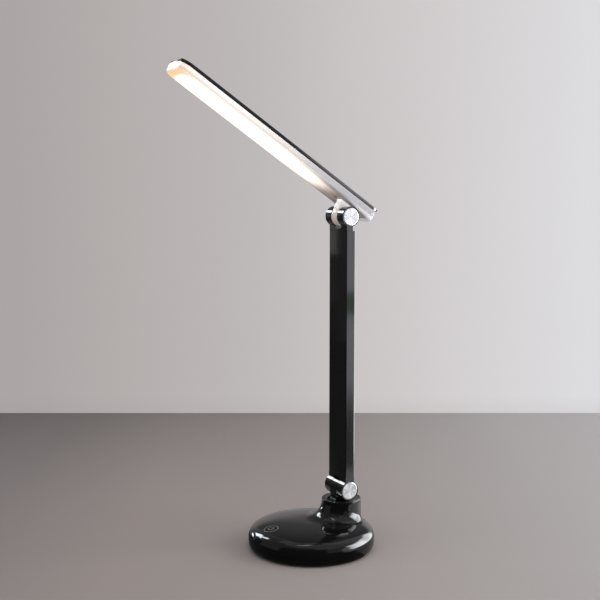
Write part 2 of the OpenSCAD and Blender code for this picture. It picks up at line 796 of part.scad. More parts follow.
// Milky ring with drafted walls, a bevelled lower edge, a ledge for the diffuser and a raised
// lip at the tail, which the cover ends at
module head_frame() {
    color("#f1f1f4") head_place() difference() {
        union() {
            head_sweep(head_drop) polygon([[0, 0], [$half - draft - bevel, 0],
                [$half - draft, bevel], [$half, frame_h - seam_bevel],
                [$half - seam_bevel, frame_h], [0, frame_h]]);
            intersection() {
                head_sweep(seam_h - seam_bevel) polygon([[0, 0], [$half, 0],
                    [$half, cover_h], [$half - seam_bevel, cover_h + seam_bevel],
                    [0, cover_h + seam_bevel]]);
                tail_end(0);
            }
        }
        head_slab(window_inset + draft, head_drop - 1, ledge_z - head_drop + 1);
        head_slab(window_inset + draft + ledge_in, head_drop - 1, frame_h);
        difference() {
            head_slab(window_inset, ledge_z + ledge_h, frame_h);
            tail_end(seam_h);
        }
    }
}

// Section of the cover's edge: small bevel at the seam, rounded top
module cover_section() {
    polygon(concat([[0, 0], [$half - seam_bevel, 0], [$half, seam_bevel]],
        arc_pts([$half - round_top, cover_h - round_top], round_top, 0, 90, 4), [[0, cover_h]]));
}

// Glossy top plate: a shallow lid with a lip that locates it in the frame, ribs and screw bosses
module head_cover() {
    lip = 1.2;
    inner = window_inset + seat_gap + head_wall;
    roof = head_top - head_wall;
    rib_z = led_board_z + led_board_t;
    boss_z = flange_z + flange_t;
    sunk = 0.5;
    color("#101013") head_place() {
        difference() {
            union() {
                head_sweep(seam_h) cover_section();
                head_slab(window_inset + seat_gap, seam_h - lip, lip + 1);
            }
            difference() {
                head_slab(inner, seam_h - lip - 1, roof - seam_h + lip + 1);
                tail_end(seam_h, face_gap + head_wall);
            }
            tail_end(seam_h - face_gap, face_gap);
        }
        for (i = [0:rib_count - 1]) translate([-head_w / 2 + inner - sunk,
                rib_first + (rib_last - rib_first) * i / (rib_count - 1), rib_z])
            cube([head_w - 2 * inner + 2 * sunk, rib_t, roof + sunk - rib_z]);
        at_knuckle_screws() translate([0, 0, boss_z]) difference() {
            cylinder(r = knuckle_boss_r, h = roof + sunk - boss_z);
            translate([0, 0, -1]) cylinder(r = knuckle_screw_r + run_gap, h = 5);
        }
    }
}

module diffuser() {
    color("#f6f3ec") head_place() difference() {
        head_slab(window_inset + draft + 0.05, diffuser_z, diffuser_t);
        translate([-knuckle_w / 2 - web_room, -knuckle_front - web_room, diffuser_z - 1])
            cube([knuckle_w + 2 * web_room, knuckle_front + ear_r + web_room, diffuser_t + 2]);
        translate([0, spot_y, diffuser_z - 1]) cylinder(r = spot_r + web_room, h = diffuser_t + 2);
    }
}

module reflector() {
    color("#f7f7f7") head_place() difference() {
        light_strip(window_inset + ledge_in + 0.7, reflector_z, reflector_t);
        at_chips() cube([chip[0] + 2 * seat_gap, chip[1] + 2 * seat_gap, 3 * reflector_t],
            center = true);
    }
}

module at_chips() {
    for (i = [0:led_count - 1], k = [0:led_rows - 1])
        translate([(k - (led_rows - 1) / 2) * led_row_gap,
            -led_start - led_margin - led_pitch * (i + 0.5), reflector_z + reflector_t / 2])
            children();
}

module led_board() {
    color("#d9dadb") head_place()
        light_strip(window_inset + seat_gap + head_wall + seat_gap, led_board_z, led_board_t);
}

module led_chips() {
    color("#f5e27a") head_place() at_chips()
        translate([0, 0, reflector_t / 2 - chip[2] / 2]) cube(chip, center = true);
}

// Hinge tongue of the head: barrel, web up through the diffuser, and a flange above it.
// In the outline x runs towards the tip and y away from the hinge axis.
module knuckle_outline() {
    circle(ear_r);
    polygon([[-knuckle_back, flange_z + 1], [0.6 - ear_r, 3], [0, 0], knuckle_lip, knuckle_mid,
        [knuckle_front, head_drop], [knuckle_front, flange_z + 1]]);
}

module head_knuckle() {
    color("#f1efe9") head_place() difference() {
        union() {
            translate([knuckle_w / 2, 0, 0]) rotate([90, 0, -90])
                linear_extrude(knuckle_w) knuckle_outline();
            translate([-flange_w / 2, -flange_front, flange_z])
                cube([flange_w, flange_front + flange_back, flange_t]);
        }
        along_x(bore_r, knuckle_w + 2);
        at_knuckle_screws() translate([0, 0, flange_z - 1])
            cylinder(r = knuckle_head_r + face_gap, h = flange_t + 2);
        translate([0, spot_y, flange_z - 1]) cylinder(r = spot_r + run_gap, h = flange_t + 2);
        translate([0, 0, bolt_r]) cylinder(r = lead_bore_r, h = flange_z + flange_t);
    }
}

module knuckle_screws() {
    color("#b8b9bb") head_place() at_knuckle_screws() translate([0, 0, flange_z]) {
        cylinder(r = knuckle_screw_r, h = flange_t + 3.5);
        translate([0, 0, -eps]) cylinder(r = knuckle_head_r, h = flange_t);
    }
}

module diffuser_screw() {
    color("#b9c6d6") head_place() translate([0, spot_y, 0]) {
        translate([0, 0, diffuser_z - spot_head[1]]) cylinder(r = spot_head[0], h = spot_head[1]);
        translate([0, 0, diffuser_z - eps]) cylinder(r = spot_r, h = diffuser_t + flange_t);
    }
}

module head_lead() {
    over = flange_z + flange_t + head_lead_r + 0.15;
    color("#202022") head_place() lead(spline([[0, 0, ear_r - 2], [0, 0, flange_z],
        [0, -0.4, flange_z + flange_t], [0, -3, over + 0.4], [0, -12, over + 0.1],
        [0, -24, over], [0, -led_start + 0.6, over]], 4), head_lead_r);
}

base_shell();
base_tray();
anti_slip_pad();
ballast_plate();
base_screws();
control_board();
board_parts();
board_screws();
touch_spring();
inlet_housing();
inlet_pin();
inlet_lead();
lamp_lead();
swivel_bearing();
swivel_post();
swivel_washer();
swivel_nut();
arm_front_shell();
arm_rear_cover();
lower_fork();
upper_fork();
arm_screws();
arm_lead();
lower_hinge_bolt();
lower_hinge_nut();
lower_hinge_washers();
lower_hinge_caps();
upper_hinge_bolt();
upper_hinge_nut();
upper_hinge_washers();
upper_hinge_caps();
head_frame();
head_cover();
diffuser();
reflector();
led_board();
led_chips();
head_knuckle();
knuckle_screws();
diffuser_screw();
head_lead();
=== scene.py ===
import json
import math
import bmesh
import bpy
from mathutils import Matrix, Vector


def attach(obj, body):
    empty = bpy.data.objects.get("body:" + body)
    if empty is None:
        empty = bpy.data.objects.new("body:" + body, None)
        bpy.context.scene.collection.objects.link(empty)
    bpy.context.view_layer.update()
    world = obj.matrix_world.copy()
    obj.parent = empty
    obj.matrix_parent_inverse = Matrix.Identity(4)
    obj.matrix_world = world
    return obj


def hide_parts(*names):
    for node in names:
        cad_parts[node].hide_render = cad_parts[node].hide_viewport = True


mm = 0.001

# Camera: where it stands, how it is turned and its lens
viewpoint = {"place": (0.920585, -0.501503, 0.364289), "tiltDeg": 84.135, "turnDeg": 62.066,
             "lens": 62.531, "sensor": 36.0}


def setCamera():
    data = bpy.data.cameras.new("lampCamera")
    data.sensor_width = viewpoint["sensor"]
    data.lens = viewpoint["lens"]
    data.clip_end = 60
    camera = bpy.data.objects.new("lampCamera", data)
    camera.location = viewpoint["place"]
    camera.rotation_euler = (math.radians(viewpoint["tiltDeg"]), 0, math.radians(viewpoint["turnDeg"]))
    bpy.context.scene.collection.objects.link(camera)
    bpy.context.scene.camera = camera
    bpy.context.scene.view_settings.view_transform = "Standard"


setCamera()
print("camera set")

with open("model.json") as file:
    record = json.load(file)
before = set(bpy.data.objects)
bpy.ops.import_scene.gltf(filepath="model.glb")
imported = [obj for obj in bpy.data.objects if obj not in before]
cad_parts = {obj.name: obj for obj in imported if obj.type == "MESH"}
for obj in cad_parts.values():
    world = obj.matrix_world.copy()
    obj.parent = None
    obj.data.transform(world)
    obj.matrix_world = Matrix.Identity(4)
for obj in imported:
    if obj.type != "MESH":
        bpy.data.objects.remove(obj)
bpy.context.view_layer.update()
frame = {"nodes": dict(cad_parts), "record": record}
print("frame loaded:", len(frame["nodes"]), "nodes")


def tone(r, g, b):  # a colour as seen on a screen, 0-255, turned to linear light
    def one(v):
        v = v / 255
        return v / 12.92 if v <= 0.04045 else ((v + 0.055) / 1.055) ** 2.4
    return (one(r), one(g), one(b), 1.0)


def heading(azimuth, elevation=0):  # unit vector; azimuth 0 looks out to the front, 90 to +X
    a, e = math.radians(azimuth), math.radians(elevation)
    return Vector((math.sin(a) * math.cos(e), -math.cos(a) * math.cos(e), math.sin(e)))


class Wire:  # one shader socket; arithmetic on it adds the Math node that does it
    def __init__(self, tree, socket=None):
        self.tree = tree
        self.socket = socket

    def node(self, kind, settings=None, links=None, out=0):
        made = self.tree.nodes.new(kind)
        for name, value in (settings or {}).items():
            if name == "stops":
                ramp = made.color_ramp
                while len(ramp.elements) < len(value):
                    ramp.elements.new(1.0)
                for element, (place, colour) in zip(ramp.elements, value):
                    element.position = place
                    element.color = colour
            else:
                setattr(made, name, value)
        for name, value in (links or {}).items():
            if isinstance(value, Wire):
                self.tree.links.new(value.socket, made.inputs[name])
            else:
                made.inputs[name].default_value = value
        return Wire(self.tree, made.outputs[out])

    def math(self, operation, *values):
        return self.node("ShaderNodeMath", {"operation": operation}, dict(enumerate(values)))

    def __add__(self, other): return self.math("ADD", self, other)
    def __sub__(self, other): return self.math("SUBTRACT", self, other)
    def __rsub__(self, other): return self.math("SUBTRACT", other, self)
    def __mul__(self, other): return self.math("MULTIPLY", self, other)
    def __truediv__(self, other): return self.math("DIVIDE", self, other)
    def __pow__(self, other): return self.math("POWER", self, other)
    __radd__ = __add__
    __rmul__ = __mul__

    def clamped(self):
        return self.node("ShaderNodeClamp", {}, {"Value": self})

    def eased(self):  # 0 to 1 with soft ends
        part = self.clamped()
        return part * part * (3 - 2 * part)

    def ramp(self, stops):
        return self.node("ShaderNodeValToRGB", {"stops": stops}, {"Fac": self})

    def blend(self, first, second):  # colours: first where this is 0, second where it is 1
        return self.node("ShaderNodeMix", {"data_type": "RGBA"}, {0: self, 6: first, 7: second}, out=2)

    def noise(self, scale, detail=2.0, roughness=0.5):  # this is the place, a vector
        return self.node("ShaderNodeTexNoise", {}, {"Vector": self, "Scale": scale, "Detail": detail,
                                                    "Roughness": roughness})

    def stretched(self, x, y, z):
        return self.node("ShaderNodeVectorMath", {"operation": "MULTIPLY"}, {0: self, 1: (x, y, z)})

    def along(self, start, direction):  # distance from start along a direction, in mm
        moved = self.node("ShaderNodeVectorMath", {"operation": "SUBTRACT"}, {0: self, 1: tuple(start)})
        return self.node("ShaderNodeVectorMath", {"operation": "DOT_PRODUCT"},
                         {0: moved, 1: tuple(Vector(direction) / mm)}, out="Value")

    def relief(self, distance, strength):  # this is a height, 0 to 1
        return self.node("ShaderNodeBump", {}, {"Height": self, "Distance": distance, "Strength": strength})


class Finish:  # a material around one Principled shader
    def __init__(self, name, **constants):
        self.material = bpy.data.materials.new(name)
        self.material.use_nodes = True
        self.tree = self.material.node_tree
        self.shader = self.tree.nodes["Principled BSDF"]
        self.start = Wire(self.tree)
        for socket, value in constants.items():
            self.shader.inputs[socket.replace("_", " ")].default_value = value

    def feed(self, socket, wire):
        self.tree.links.new(wire.socket, self.shader.inputs[socket])

    def place(self):
        return self.start.node("ShaderNodeTexCoord", out="Object")

    def show(self, wire):  # takes over the output from the Principled shader
        self.tree.links.new(wire.socket, self.tree.nodes["Material Output"].inputs["Surface"])


def newObject(name, mesh):
    made = bpy.data.objects.new(name, mesh)
    bpy.context.scene.collection.objects.link(made)
    return made


def shaded(made, sharpDeg=32):
    made.data.shade_smooth()
    made.data.set_sharp_from_angle(angle=math.radians(sharpDeg))
    return made


def settle(made):  # applies an object's modifiers
    bpy.context.view_layer.update()
    final = bpy.data.meshes.new_from_object(made.evaluated_get(bpy.context.evaluated_depsgraph_get()))
    made.modifiers.clear()
    made.data = final
    return made


def ringMesh(name, rings, loop=False):  # skins closed rings of points, one after another
    mesh = bpy.data.meshes.new(name)
    bm = bmesh.new()
    rows = [[bm.verts.new(p) for p in ring] for ring in rings]
    pairs = list(zip(rows, rows[1:])) + ([(rows[-1], rows[0])] if loop else [])
    for lower, upper in pairs:
        for i in range(len(lower)):
            j = (i + 1) % len(lower)
            bm.faces.new((lower[i], lower[j], upper[j], upper[i]))
    if not loop:
        bm.faces.new(list(reversed(rows[0])))
        bm.faces.new(rows[-1])
    bmesh.ops.recalc_face_normals(bm, faces=bm.faces)
    bm.to_mesh(mesh)
    bm.free()
    return newObject(name, mesh)


def turned(name, profile, sides=96):  # revolves (radius, height) points about Z; a zero radius closes it
    mesh = bpy.data.meshes.new(name)
    bm = bmesh.new()
    spin = [(math.cos(2 * math.pi * k / sides), math.sin(2 * math.pi * k / sides)) for k in range(sides)]
    rows = [[bm.verts.new((0, 0, h))] if r < 1e-7 else [bm.verts.new((r * c, r * s, h)) for c, s in spin]
            for r, h in profile]
    for one, two in zip(rows, rows[1:]):
        for i in range(sides):
            j = (i + 1) % sides
            corners = [one[i % len(one)], one[j % len(one)], two[j % len(two)], two[i % len(two)]]
            corners = [v for n, v in enumerate(corners) if v not in corners[:n]]
            if len(corners) > 2:
                bm.faces.new(corners)
    bmesh.ops.recalc_face_normals(bm, faces=bm.faces)
    bm.to_mesh(mesh)
    bm.free()
    return newObject(name, mesh)


def softened(node, name, width, upright):  # a copy of a moulded node with its sharp edges rounded
    weldDistance, flatDeg, edgeDeg, uprightShare = 2e-6, 0.4, 40, 0.8
    mesh = bpy.data.meshes.new(name)
    bm = bmesh.new()
    bm.from_mesh(frame["nodes"][node].data)
    bmesh.ops.remove_doubles(bm, verts=bm.verts, dist=weldDistance)
    bmesh.ops.dissolve_limit(bm, angle_limit=math.radians(flatDeg), verts=bm.verts, edges=bm.edges)
    edges = [e for e in bm.edges if e.is_manifold and e.calc_face_angle(0) > math.radians(edgeDeg)
             and (not upright or abs(e.verts[0].co.z - e.verts[1].co.z) > uprightShare * e.calc_length())]
    bmesh.ops.bevel(bm, geom=edges, offset=width, offset_type="OFFSET", segments=3, profile=0.5,
                    affect="EDGES", clamp_overlap=False, miter_outer="ARC")
    bmesh.ops.remove_doubles(bm, verts=bm.verts, dist=1e-6)
    bm.to_mesh(mesh)
    bm.free()
    made = shaded(newObject(name, mesh), 60)
    weigh = made.modifiers.new("flatFacesStayFlat", "WEIGHTED_NORMAL")
    weigh.keep_sharp = True
    return settle(made)


def joined(name, *parts):  # one object out of several, which go
    mesh = bpy.data.meshes.new(name)
    bm = bmesh.new()
    for part in parts:
        bm.from_mesh(part.data)
    bm.to_mesh(mesh)
    bm.free()
    for part in parts:
        bpy.data.objects.remove(part)
    return newObject(name, mesh)


def finishPiece(piece, finish, body, slot, *nodes):
    piece.data.materials.clear()
    piece.data.materials.append(finish)
    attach(piece, body)
    if nodes:
        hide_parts(*nodes)
    return piece


# The table and the wall behind it
stageSize = {"backEdge": 658 * mm, "wallWide": 7.0, "wallHigh": 4.2, "tableWide": 9.0, "tableZ": -0.00003,
             "toneReach": 1.6, "nearFrom": 650, "nearSpan": 480, "footHigh": 30, "footShade": 0.12,
             "openFrom": -330, "openFeather": 40}
# Painted light: the wall's tones grow lighter towards the right, as the light falls across it from that side.
wallTones = [(-1.6, (148, 143, 143)), (-0.473, (172, 167, 166)), (-0.308, (181, 175, 174)),
             (-0.094, (191, 186, 186)), (0.235, (213, 209, 210)), (0.449, (223, 222, 224)), (1.6, (236, 235, 238))]
# Painted light: the table's tones grow lighter towards the right, as the light falls across it; the far part has tones
# of its own.
tableTones = [(-1.2, (110, 105, 105)), (-0.36, (152, 145, 144)), (-0.2, (167, 158, 154)), (0.0, (171, 163, 160)),
              (0.16, (178, 172, 170)), (0.3, (183, 179, 179)), (1.2, (206, 205, 207))]
tableFarTones = [(-1.2, (106, 101, 101)), (-0.36, (138, 132, 131)), (-0.2, (153, 147, 145)), (0.0, (164, 157, 155)),
                 (0.16, (174, 169, 167)), (0.3, (183, 180, 180)), (1.2, (202, 201, 203))]
viewTurn = math.radians(viewpoint["turnDeg"])
acrossView = Vector((math.cos(viewTurn), math.sin(viewTurn), 0))
towardView = Vector((math.sin(viewTurn), -math.cos(viewTurn), 0))


def acrossStops(tones):
    reach = stageSize["toneReach"]
    return [((x + reach) / (2 * reach), tone(*colour)) for x, colour in tones]


def acrossFactor(place):
    reach = stageSize["toneReach"]
    return (place.along((0, 0, 0), acrossView) * mm + reach) / (2 * reach)


def tableFinish():
    finish = Finish("tableTop", Specular_IOR_Level=0.0)
    place = finish.place()
    across = acrossFactor(place)
    nearer = ((place.along((0, 0, 0), towardView) + stageSize["nearFrom"]) / stageSize["nearSpan"]).clamped()
    # painted light across the table, blended from the far tones to the near ones
    colour = nearer.blend(across.ramp(acrossStops(tableFarTones)), across.ramp(acrossStops(tableTones)))
    grain = place.noise(900, 3) * 0.5 + place.noise(7, 2) * 0.5
    finish.feed("Base Color", (grain * 0.12).blend(colour, (0.30, 0.27, 0.26, 1)))
    finish.feed("Roughness", grain * 0.16 + 0.54)
    finish.feed("Normal", place.noise(1600, 2).relief(0.00004, 0.3))
    return finish.material


def wallFinish():  # lit as written where it is seen or reflected, plain plaster for the light it passes on
    finish = Finish("wallPlaster", Roughness=0.9)
    start = finish.start
    place = finish.place()
    # painted light: the wall's colour lightens towards the right
    colour = acrossFactor(place).ramp(acrossStops(wallTones))
    patchy = place.noise(3.5, 4) * 0.05 + place.noise(60, 2) * 0.02
    # painted shadow: the wall darkens towards its foot, where it meets the table
    low = (1 - place.along((0, 0, 0), (0, 0, 1)) / stageSize["footHigh"]).clamped() * stageSize["footShade"]
    colour = (patchy + low).clamped().blend(colour, (0.28, 0.27, 0.27, 1))
    rays = start.node("ShaderNodeLightPath", out="Is Camera Ray")
    seen = rays.math("MAXIMUM", rays, start.node("ShaderNodeLightPath", out="Is Glossy Ray"))
    seen = seen.math("MAXIMUM", seen, start.node("ShaderNodeLightPath", out="Is Transmission Ray"))
    shown = start.node("ShaderNodeEmission", {}, {"Color": colour, "Strength": 1.0})
    finish.feed("Base Color", colour)
    body = start.node("ShaderNodeMixShader", {}, {0: seen, 1: Wire(finish.tree, finish.shader.outputs[0]), 2: shown})
    clear = start.node("ShaderNodeBsdfTransparent")
    opened = ((stageSize["openFrom"] - place.along((0, 0, 0), acrossView)) / stageSize["openFeather"]).clamped()
    opened = opened * start.node("ShaderNodeLightPath", out="Is Glossy Ray")  # the softbox stands past there
    gone = opened.math("MAXIMUM", opened, start.node("ShaderNodeNewGeometry", out="Backfacing"))
    finish.show(start.node("ShaderNodeMixShader", {}, {0: gone, 1: body, 2: clear}))
    return finish.material


def sheetObject(name, corners, material):
    mesh = bpy.data.meshes.new(name)
    mesh.from_pydata([tuple(c) for c in corners], [], [tuple(range(len(corners)))])
    mesh.materials.append(material)
    made = newObject(name, mesh)
    return made


def makeStage():
    half, z = stageSize["tableWide"] / 2, stageSize["tableZ"]
    sheetObject("tableTop", [(-half, -half, z), (half, -half, z), (half, half, z), (-half, half, z)], tableFinish())
    foot = -towardView * stageSize["backEdge"]
    side = acrossView * stageSize["wallWide"] / 2
    up = Vector((0, 0, stageSize["wallHigh"]))
    sheetObject("backWall", [foot - side, foot + side, foot + side + up, foot - side + up], wallFinish())


# Cards are seen only in reflections, and only from the lamp's side. Each spans azimuths, and runs from one
# reach and height to another; it fades over its feather: at the sides, at the start and at the end.
cards = {
    "softboxLeft": {"az": (-78.8, -70.5), "reach": (1.5, 1.5), "height": (0.60, 1.58), "glow": (0.88, 0.95, 1.0),
                    "strength": 12, "feather": (0.05, 0.05, 0.16)},
    "softboxLow": {"az": (-85, -76.5), "reach": (1.51, 1.51), "height": (0.60, 1.15), "glow": (0.88, 0.95, 1.0),
                   "strength": 12, "feather": (0.1, 0.1, 0.2)},
    "softboxHinge": {"az": (-71, -63.5), "reach": (1.5, 1.5), "height": (0.86, 1.04), "glow": (0.88, 0.95, 1.0),
                     "strength": 12, "feather": (0.1, 0.2, 0.2)},
    "neckGlint": {"az": (-76, -66), "reach": (0.85, 0.34), "height": (0.095, 0.095), "glow": (0.88, 0.95, 1.0),
                  "strength": 12, "feather": (0.12, 0.1, 0.1)},
    "dimBack": {"az": (-98, -61.9), "reach": (1.6, 1.6), "height": (0.0, 2.6), "glow": (1.0, 0.98, 0.97),
                "strength": 0.27, "feather": (0.02, 0.001, 0.1)},
    "darkLeft": {"az": (-61.2, -38), "reach": (1.45, 1.45), "height": (0.0, 0.9), "glow": (1.0, 0.98, 0.97),
                 "strength": 0.08, "feather": (0.01, 0.001, 0.25)},
    "dimLeft": {"az": (-42, 3), "reach": (1.4, 1.4), "height": (0.0, 1.0), "glow": (1.0, 0.98, 0.97),
                "strength": 0.28, "feather": (0.1, 0.001, 0.1)},
    "darkFront": {"az": (-6, 99), "reach": (1.55, 1.4), "height": (0.0, 1.5), "glow": (1.0, 0.98, 0.97),
                  "strength": 0.05, "feather": (0.12, 0.001, 0.2)},
    "dimRoom": {"az": (-64, 76), "reach": (1.7, 1.2), "height": (0.8, 2.7), "glow": (0.97, 0.98, 1.0),
                "strength": 0.25, "feather": (0.06, 0.12, 0.1)},
    "dimRight": {"az": (88, 131), "reach": (1.5, 1.4), "height": (0.0, 1.3), "glow": (0.97, 0.98, 1.0),
                 "strength": 0.32, "feather": (0.12, 0.001, 0.2)},
    "darkBack": {"az": (-160, -90), "reach": (0.6, 0.6), "height": (0.165, 1.6), "glow": (0.97, 0.98, 1.0),
                 "strength": 0.2, "feather": (0.08, 0.06, 0.05)},
    "darkFloor": {"az": (-71, 126), "reach": (0.0595, 2.4), "height": (0.0007, 0.0007), "glow": (1.0, 0.98, 0.97),
                  "strength": 0.05, "feather": (0.035, 0.0004, 0.03)},
    "windowRight": {"az": (127, 202), "reach": (1.25, 1.25), "height": (0.0, 0.98), "glow": (0.97, 0.98, 1.0),
                    "strength": 9, "feather": (0.15, 0.001, 0.2)},
    "windowBright": {"az": (134, 178), "reach": (1.2, 1.2), "height": (0.0, 0.80), "glow": (0.97, 0.98, 1.0),
                     "strength": 14, "feather": (0.35, 0.001, 0.35)},
    "windowBack": {"az": (172, 208), "reach": (0.8, 0.8), "height": (0.0, 0.60), "glow": (0.98, 0.97, 1.0),
                   "strength": 6, "feather": (0.3, 0.001, 0.3)},
    "floorRight": {"az": (130, 200), "reach": (0.28, 1.25), "height": (0.0016, 0.0016), "glow": (0.97, 0.98, 1.0),
                   "strength": 13, "feather": (0.15, 0.25, 0.001)},
    "glowRight": {"az": (124, 200), "reach": (0.09, 0.45), "height": (0.0014, 0.0014), "glow": (0.97, 0.98, 1.0),
                  "strength": 1.2, "feather": (0.2, 0.3, 0.1)},
    "floorNear": {"az": (106, 135), "reach": (0.10, 0.37), "height": (0.0012, 0.0012), "glow": (0.95, 0.96, 1.0),
                  "strength": 1.1, "feather": (0.3, 0.1, 0.3)},
    "floorFar": {"az": (110, 136), "reach": (0.55, 1.25), "height": (0.0013, 0.0013), "glow": (0.93, 0.94, 1.0),
                 "strength": 1.6, "feather": (0.2, 0.75, 0.001)},
    "windowNear": {"az": (114, 136), "reach": (1.25, 1.25), "height": (0.0, 0.335), "glow": (0.93, 0.93, 1.0),
                   "strength": 1.65, "feather": (0.25, 0.001, 0.10)},
    "windowUpper": {"az": (116, 136), "reach": (1.22, 1.22), "height": (0.325, 0.62), "glow": (0.93, 0.93, 1.0),
                    "strength": 1.9, "feather": (0.25, 0.08, 0.75)},
    "greenNear": {"az": (114, 134), "reach": (1.19, 1.19), "height": (0.095, 0.165), "glow": (0.72, 1.0, 0.76),
                  "strength": 0.65, "feather": (0.1, 0.3, 0.3)},
}


def cardFinish(name, glow, strength, feather):
    finish = Finish(name)
    start = finish.start
    spread = start.node("ShaderNodeUVMap", {"uv_map": "spread"})
    x = start.node("ShaderNodeSeparateXYZ", {}, {0: spread}, out=0)
    y = start.node("ShaderNodeSeparateXYZ", {}, {0: spread}, out=1)
    side, low, high = feather
    mask = (start.math("MINIMUM", x, 1 - x) / side).eased() * (y / low).eased() * ((1 - y) / high).eased()
    mask = mask * (1 - start.node("ShaderNodeNewGeometry", out="Backfacing"))
    shown = start.node("ShaderNodeEmission", {}, {"Color": (*glow, 1), "Strength": strength})
    clear = start.node("ShaderNodeBsdfTransparent")
    finish.show(start.node("ShaderNodeMixShader", {}, {0: mask, 1: clear, 2: shown}))
    finish.material.cycles.emission_sampling = "NONE"
    return finish.material


def makeCard(name, az, reach, height, glow, strength, feather, across=28, up=6):
    mesh = bpy.data.meshes.new(name)
    points, spread, faces = [], [], []
    for j in range(up + 1):
        v = j / up
        for i in range(across + 1):
            u = i / across
            place = heading(az[0] + (az[1] - az[0]) * u) * (reach[0] + (reach[1] - reach[0]) * v)
            points.append((place.x, place.y, height[0] + (height[1] - height[0]) * v))
            spread.append((u, v))
    for j in range(up):
        for i in range(across):
            a = j * (across + 1) + i
            faces.append((a + 1, a, a + across + 1, a + across + 2))  # the front looks at the lamp
    mesh.from_pydata(points, [], faces)
    layer = mesh.uv_layers.new(name="spread")
    for loop in mesh.loops:
        layer.data[loop.index].uv = spread[loop.vertex_index]
    mesh.materials.append(cardFinish(name, glow, strength, feather))
    inward = heading((az[0] + az[1]) / 2) * -(height[1] - height[0]) + Vector((0, 0, reach[1] - reach[0]))
    if mesh.polygons[0].normal.dot(inward) < 0:
        mesh.flip_normals()
    made = newObject(name, mesh)
    made.visible_camera = made.visible_diffuse = made.visible_shadow = False
    made.visible_transmission = made.visible_volume_scatter = False


lights = {
    "keyRight": {"az": 140, "el": 24, "far": 1.6, "size": (1.3, 0.8), "radiance": 3.4, "glow": (1.0, 0.99, 0.98)},
    "fillLeft": {"az": -70, "el": 34, "far": 1.5, "size": (0.7, 0.7), "radiance": 1.2, "glow": (0.93, 0.97, 1.0)},
    "topSoft": {"az": 60, "el": 80, "far": 2.0, "size": (1.6, 1.6), "radiance": 1.0, "glow": (1.0, 1.0, 1.0)},
}
lightAim = Vector((0, 0, 0.15))
roomGlow = (0.43, 0.425, 0.43)


def makeLights():
    for name, value in lights.items():
        data = bpy.data.lights.new(name, "AREA")
        data.shape = "RECTANGLE"
        data.size, data.size_y = value["size"]
        data.energy = math.pi * value["size"][0] * value["size"][1] * value["radiance"]
        data.color = value["glow"]
        lamp = bpy.data.objects.new(name, data)
        place = heading(value["az"], value["el"]) * value["far"]
        lamp.location = place + lightAim
        lamp.rotation_euler = (-place).to_track_quat("-Z", "Y").to_euler()
        lamp.visible_glossy = lamp.visible_camera = False
        bpy.context.scene.collection.objects.link(lamp)
    world = bpy.data.worlds.new("room")
    world.use_nodes = True
    start = Wire(world.node_tree)
    up = start.node("ShaderNodeSeparateXYZ", {}, {0: start.node("ShaderNodeTexCoord", out="Generated")}, out=2)
    sky = (up * 0.5 + 0.5).ramp([(0.3, (0.30, 0.295, 0.295, 1)), (0.5, (*roomGlow, 1)), (0.9, (0.56, 0.56, 0.57, 1))])
    ground = start.node("ShaderNodeBackground", {}, {"Color": sky, "Strength": 1.0})
    world.node_tree.links.new(ground.socket, world.node_tree.nodes["World Output"].inputs["Surface"])
    bpy.context.scene.world = world


makeStage()
for cardName, card in cards.items():
    makeCard(cardName, **card)
makeLights()
print("stage and lights set")


plasticLook = {"black": (0.0036, 0.0036, 0.0042, 1), "blackWarm": (0.0048, 0.0045, 0.0046, 1),
               "rough": 0.05, "smudge": 0.05, "wave": 0.00006}


def glossBlack(name="glossBlack", level=0.45):
    finish = Finish(name, Specular_IOR_Level=level, IOR=1.5)
    place = finish.place()
    broad = place.noise(22, 3, 0.55)
    finish.feed("Base Color", broad.blend(plasticLook["black"], plasticLook["blackWarm"]))
    smears = place.stretched(1, 1, 0.35).noise(55, 4, 0.6)
    finish.feed("Roughness", (smears - 0.45).clamped() * plasticLook["smudge"] + plasticLook["rough"])
    finish.feed("Normal", place.noise(34, 2).relief(plasticLook["wave"], 0.35))
    return finish.material


def satinBlack():
    finish = Finish("satinBlack", Specular_IOR_Level=0.45, IOR=1.5)
    place = finish.place()
    finish.feed("Base Color", place.noise(30, 3).blend((0.005, 0.005, 0.0056, 1), (0.0075, 0.0072, 0.0075, 1)))
    finish.feed("Roughness", place.noise(60, 4) * 0.08 + 0.12)
    finish.feed("Normal", place.noise(2400, 2).relief(0.00002, 0.12))
    return finish.material


hingeAxis = {"y": 35.5, "lower": 58.6, "upper": 340.6}
headAngle = 33.8
headHinge = Vector((0, hingeAxis["y"], hingeAxis["upper"])) * mm
headForward = Vector((0, -math.cos(math.radians(headAngle)), math.sin(math.radians(headAngle))))
headUp = Vector((0, math.sin(math.radians(headAngle)), math.cos(math.radians(headAngle))))


headSize = {"w": 39.6, "tailR": 8.5, "tipR": 14.0, "tipSide": 5.8, "reach": 229.5, "tail": 24.5, "drop": 11.6,
            "frameH": 7.4, "coverH": 3.6, "draft": 0.9, "bevel": 1.2, "wall": 1.9, "ledgeIn": 1.4, "ledgeZ": 1.8,
            "ledgeH": 1.2, "tailLip": 3.0, "seamBevel": 0.3, "crease": 0.45,
            "rimDrop": 3.4, "rimStart": -15.0, "rimCurve": 1.15, "lipOverlap": 2.2}
glowLook = {"sheet": 5.0, "frame": 1.6, "coreStart": 2.2, "coreFeather": 6.0, "endStart": 7.5, "endFeather": 9.0,
            "coreRound": 18.0, "uneven": 26, "lowStart": 0.8, "lowFeather": 1.3, "highStart": 2.4, "highFeather": 2.2,
            "hingeBelow": 10, "hingeSpan": 22}


def headInward(place, along):  # mm inward from the outline, with wide corners at the tip
    side = headSize["w"] / 2 - place.math("ABSOLUTE", place.along((0, 0, 0), (1, 0, 0)))
    cornerX = place.math("MAXIMUM", glowLook["coreRound"] - side, 0.0)
    cornerY = place.math("MAXIMUM", glowLook["coreRound"] - (headSize["reach"] - along), 0.0)
    return glowLook["coreRound"] - (cornerX * cornerX + cornerY * cornerY) ** 0.5


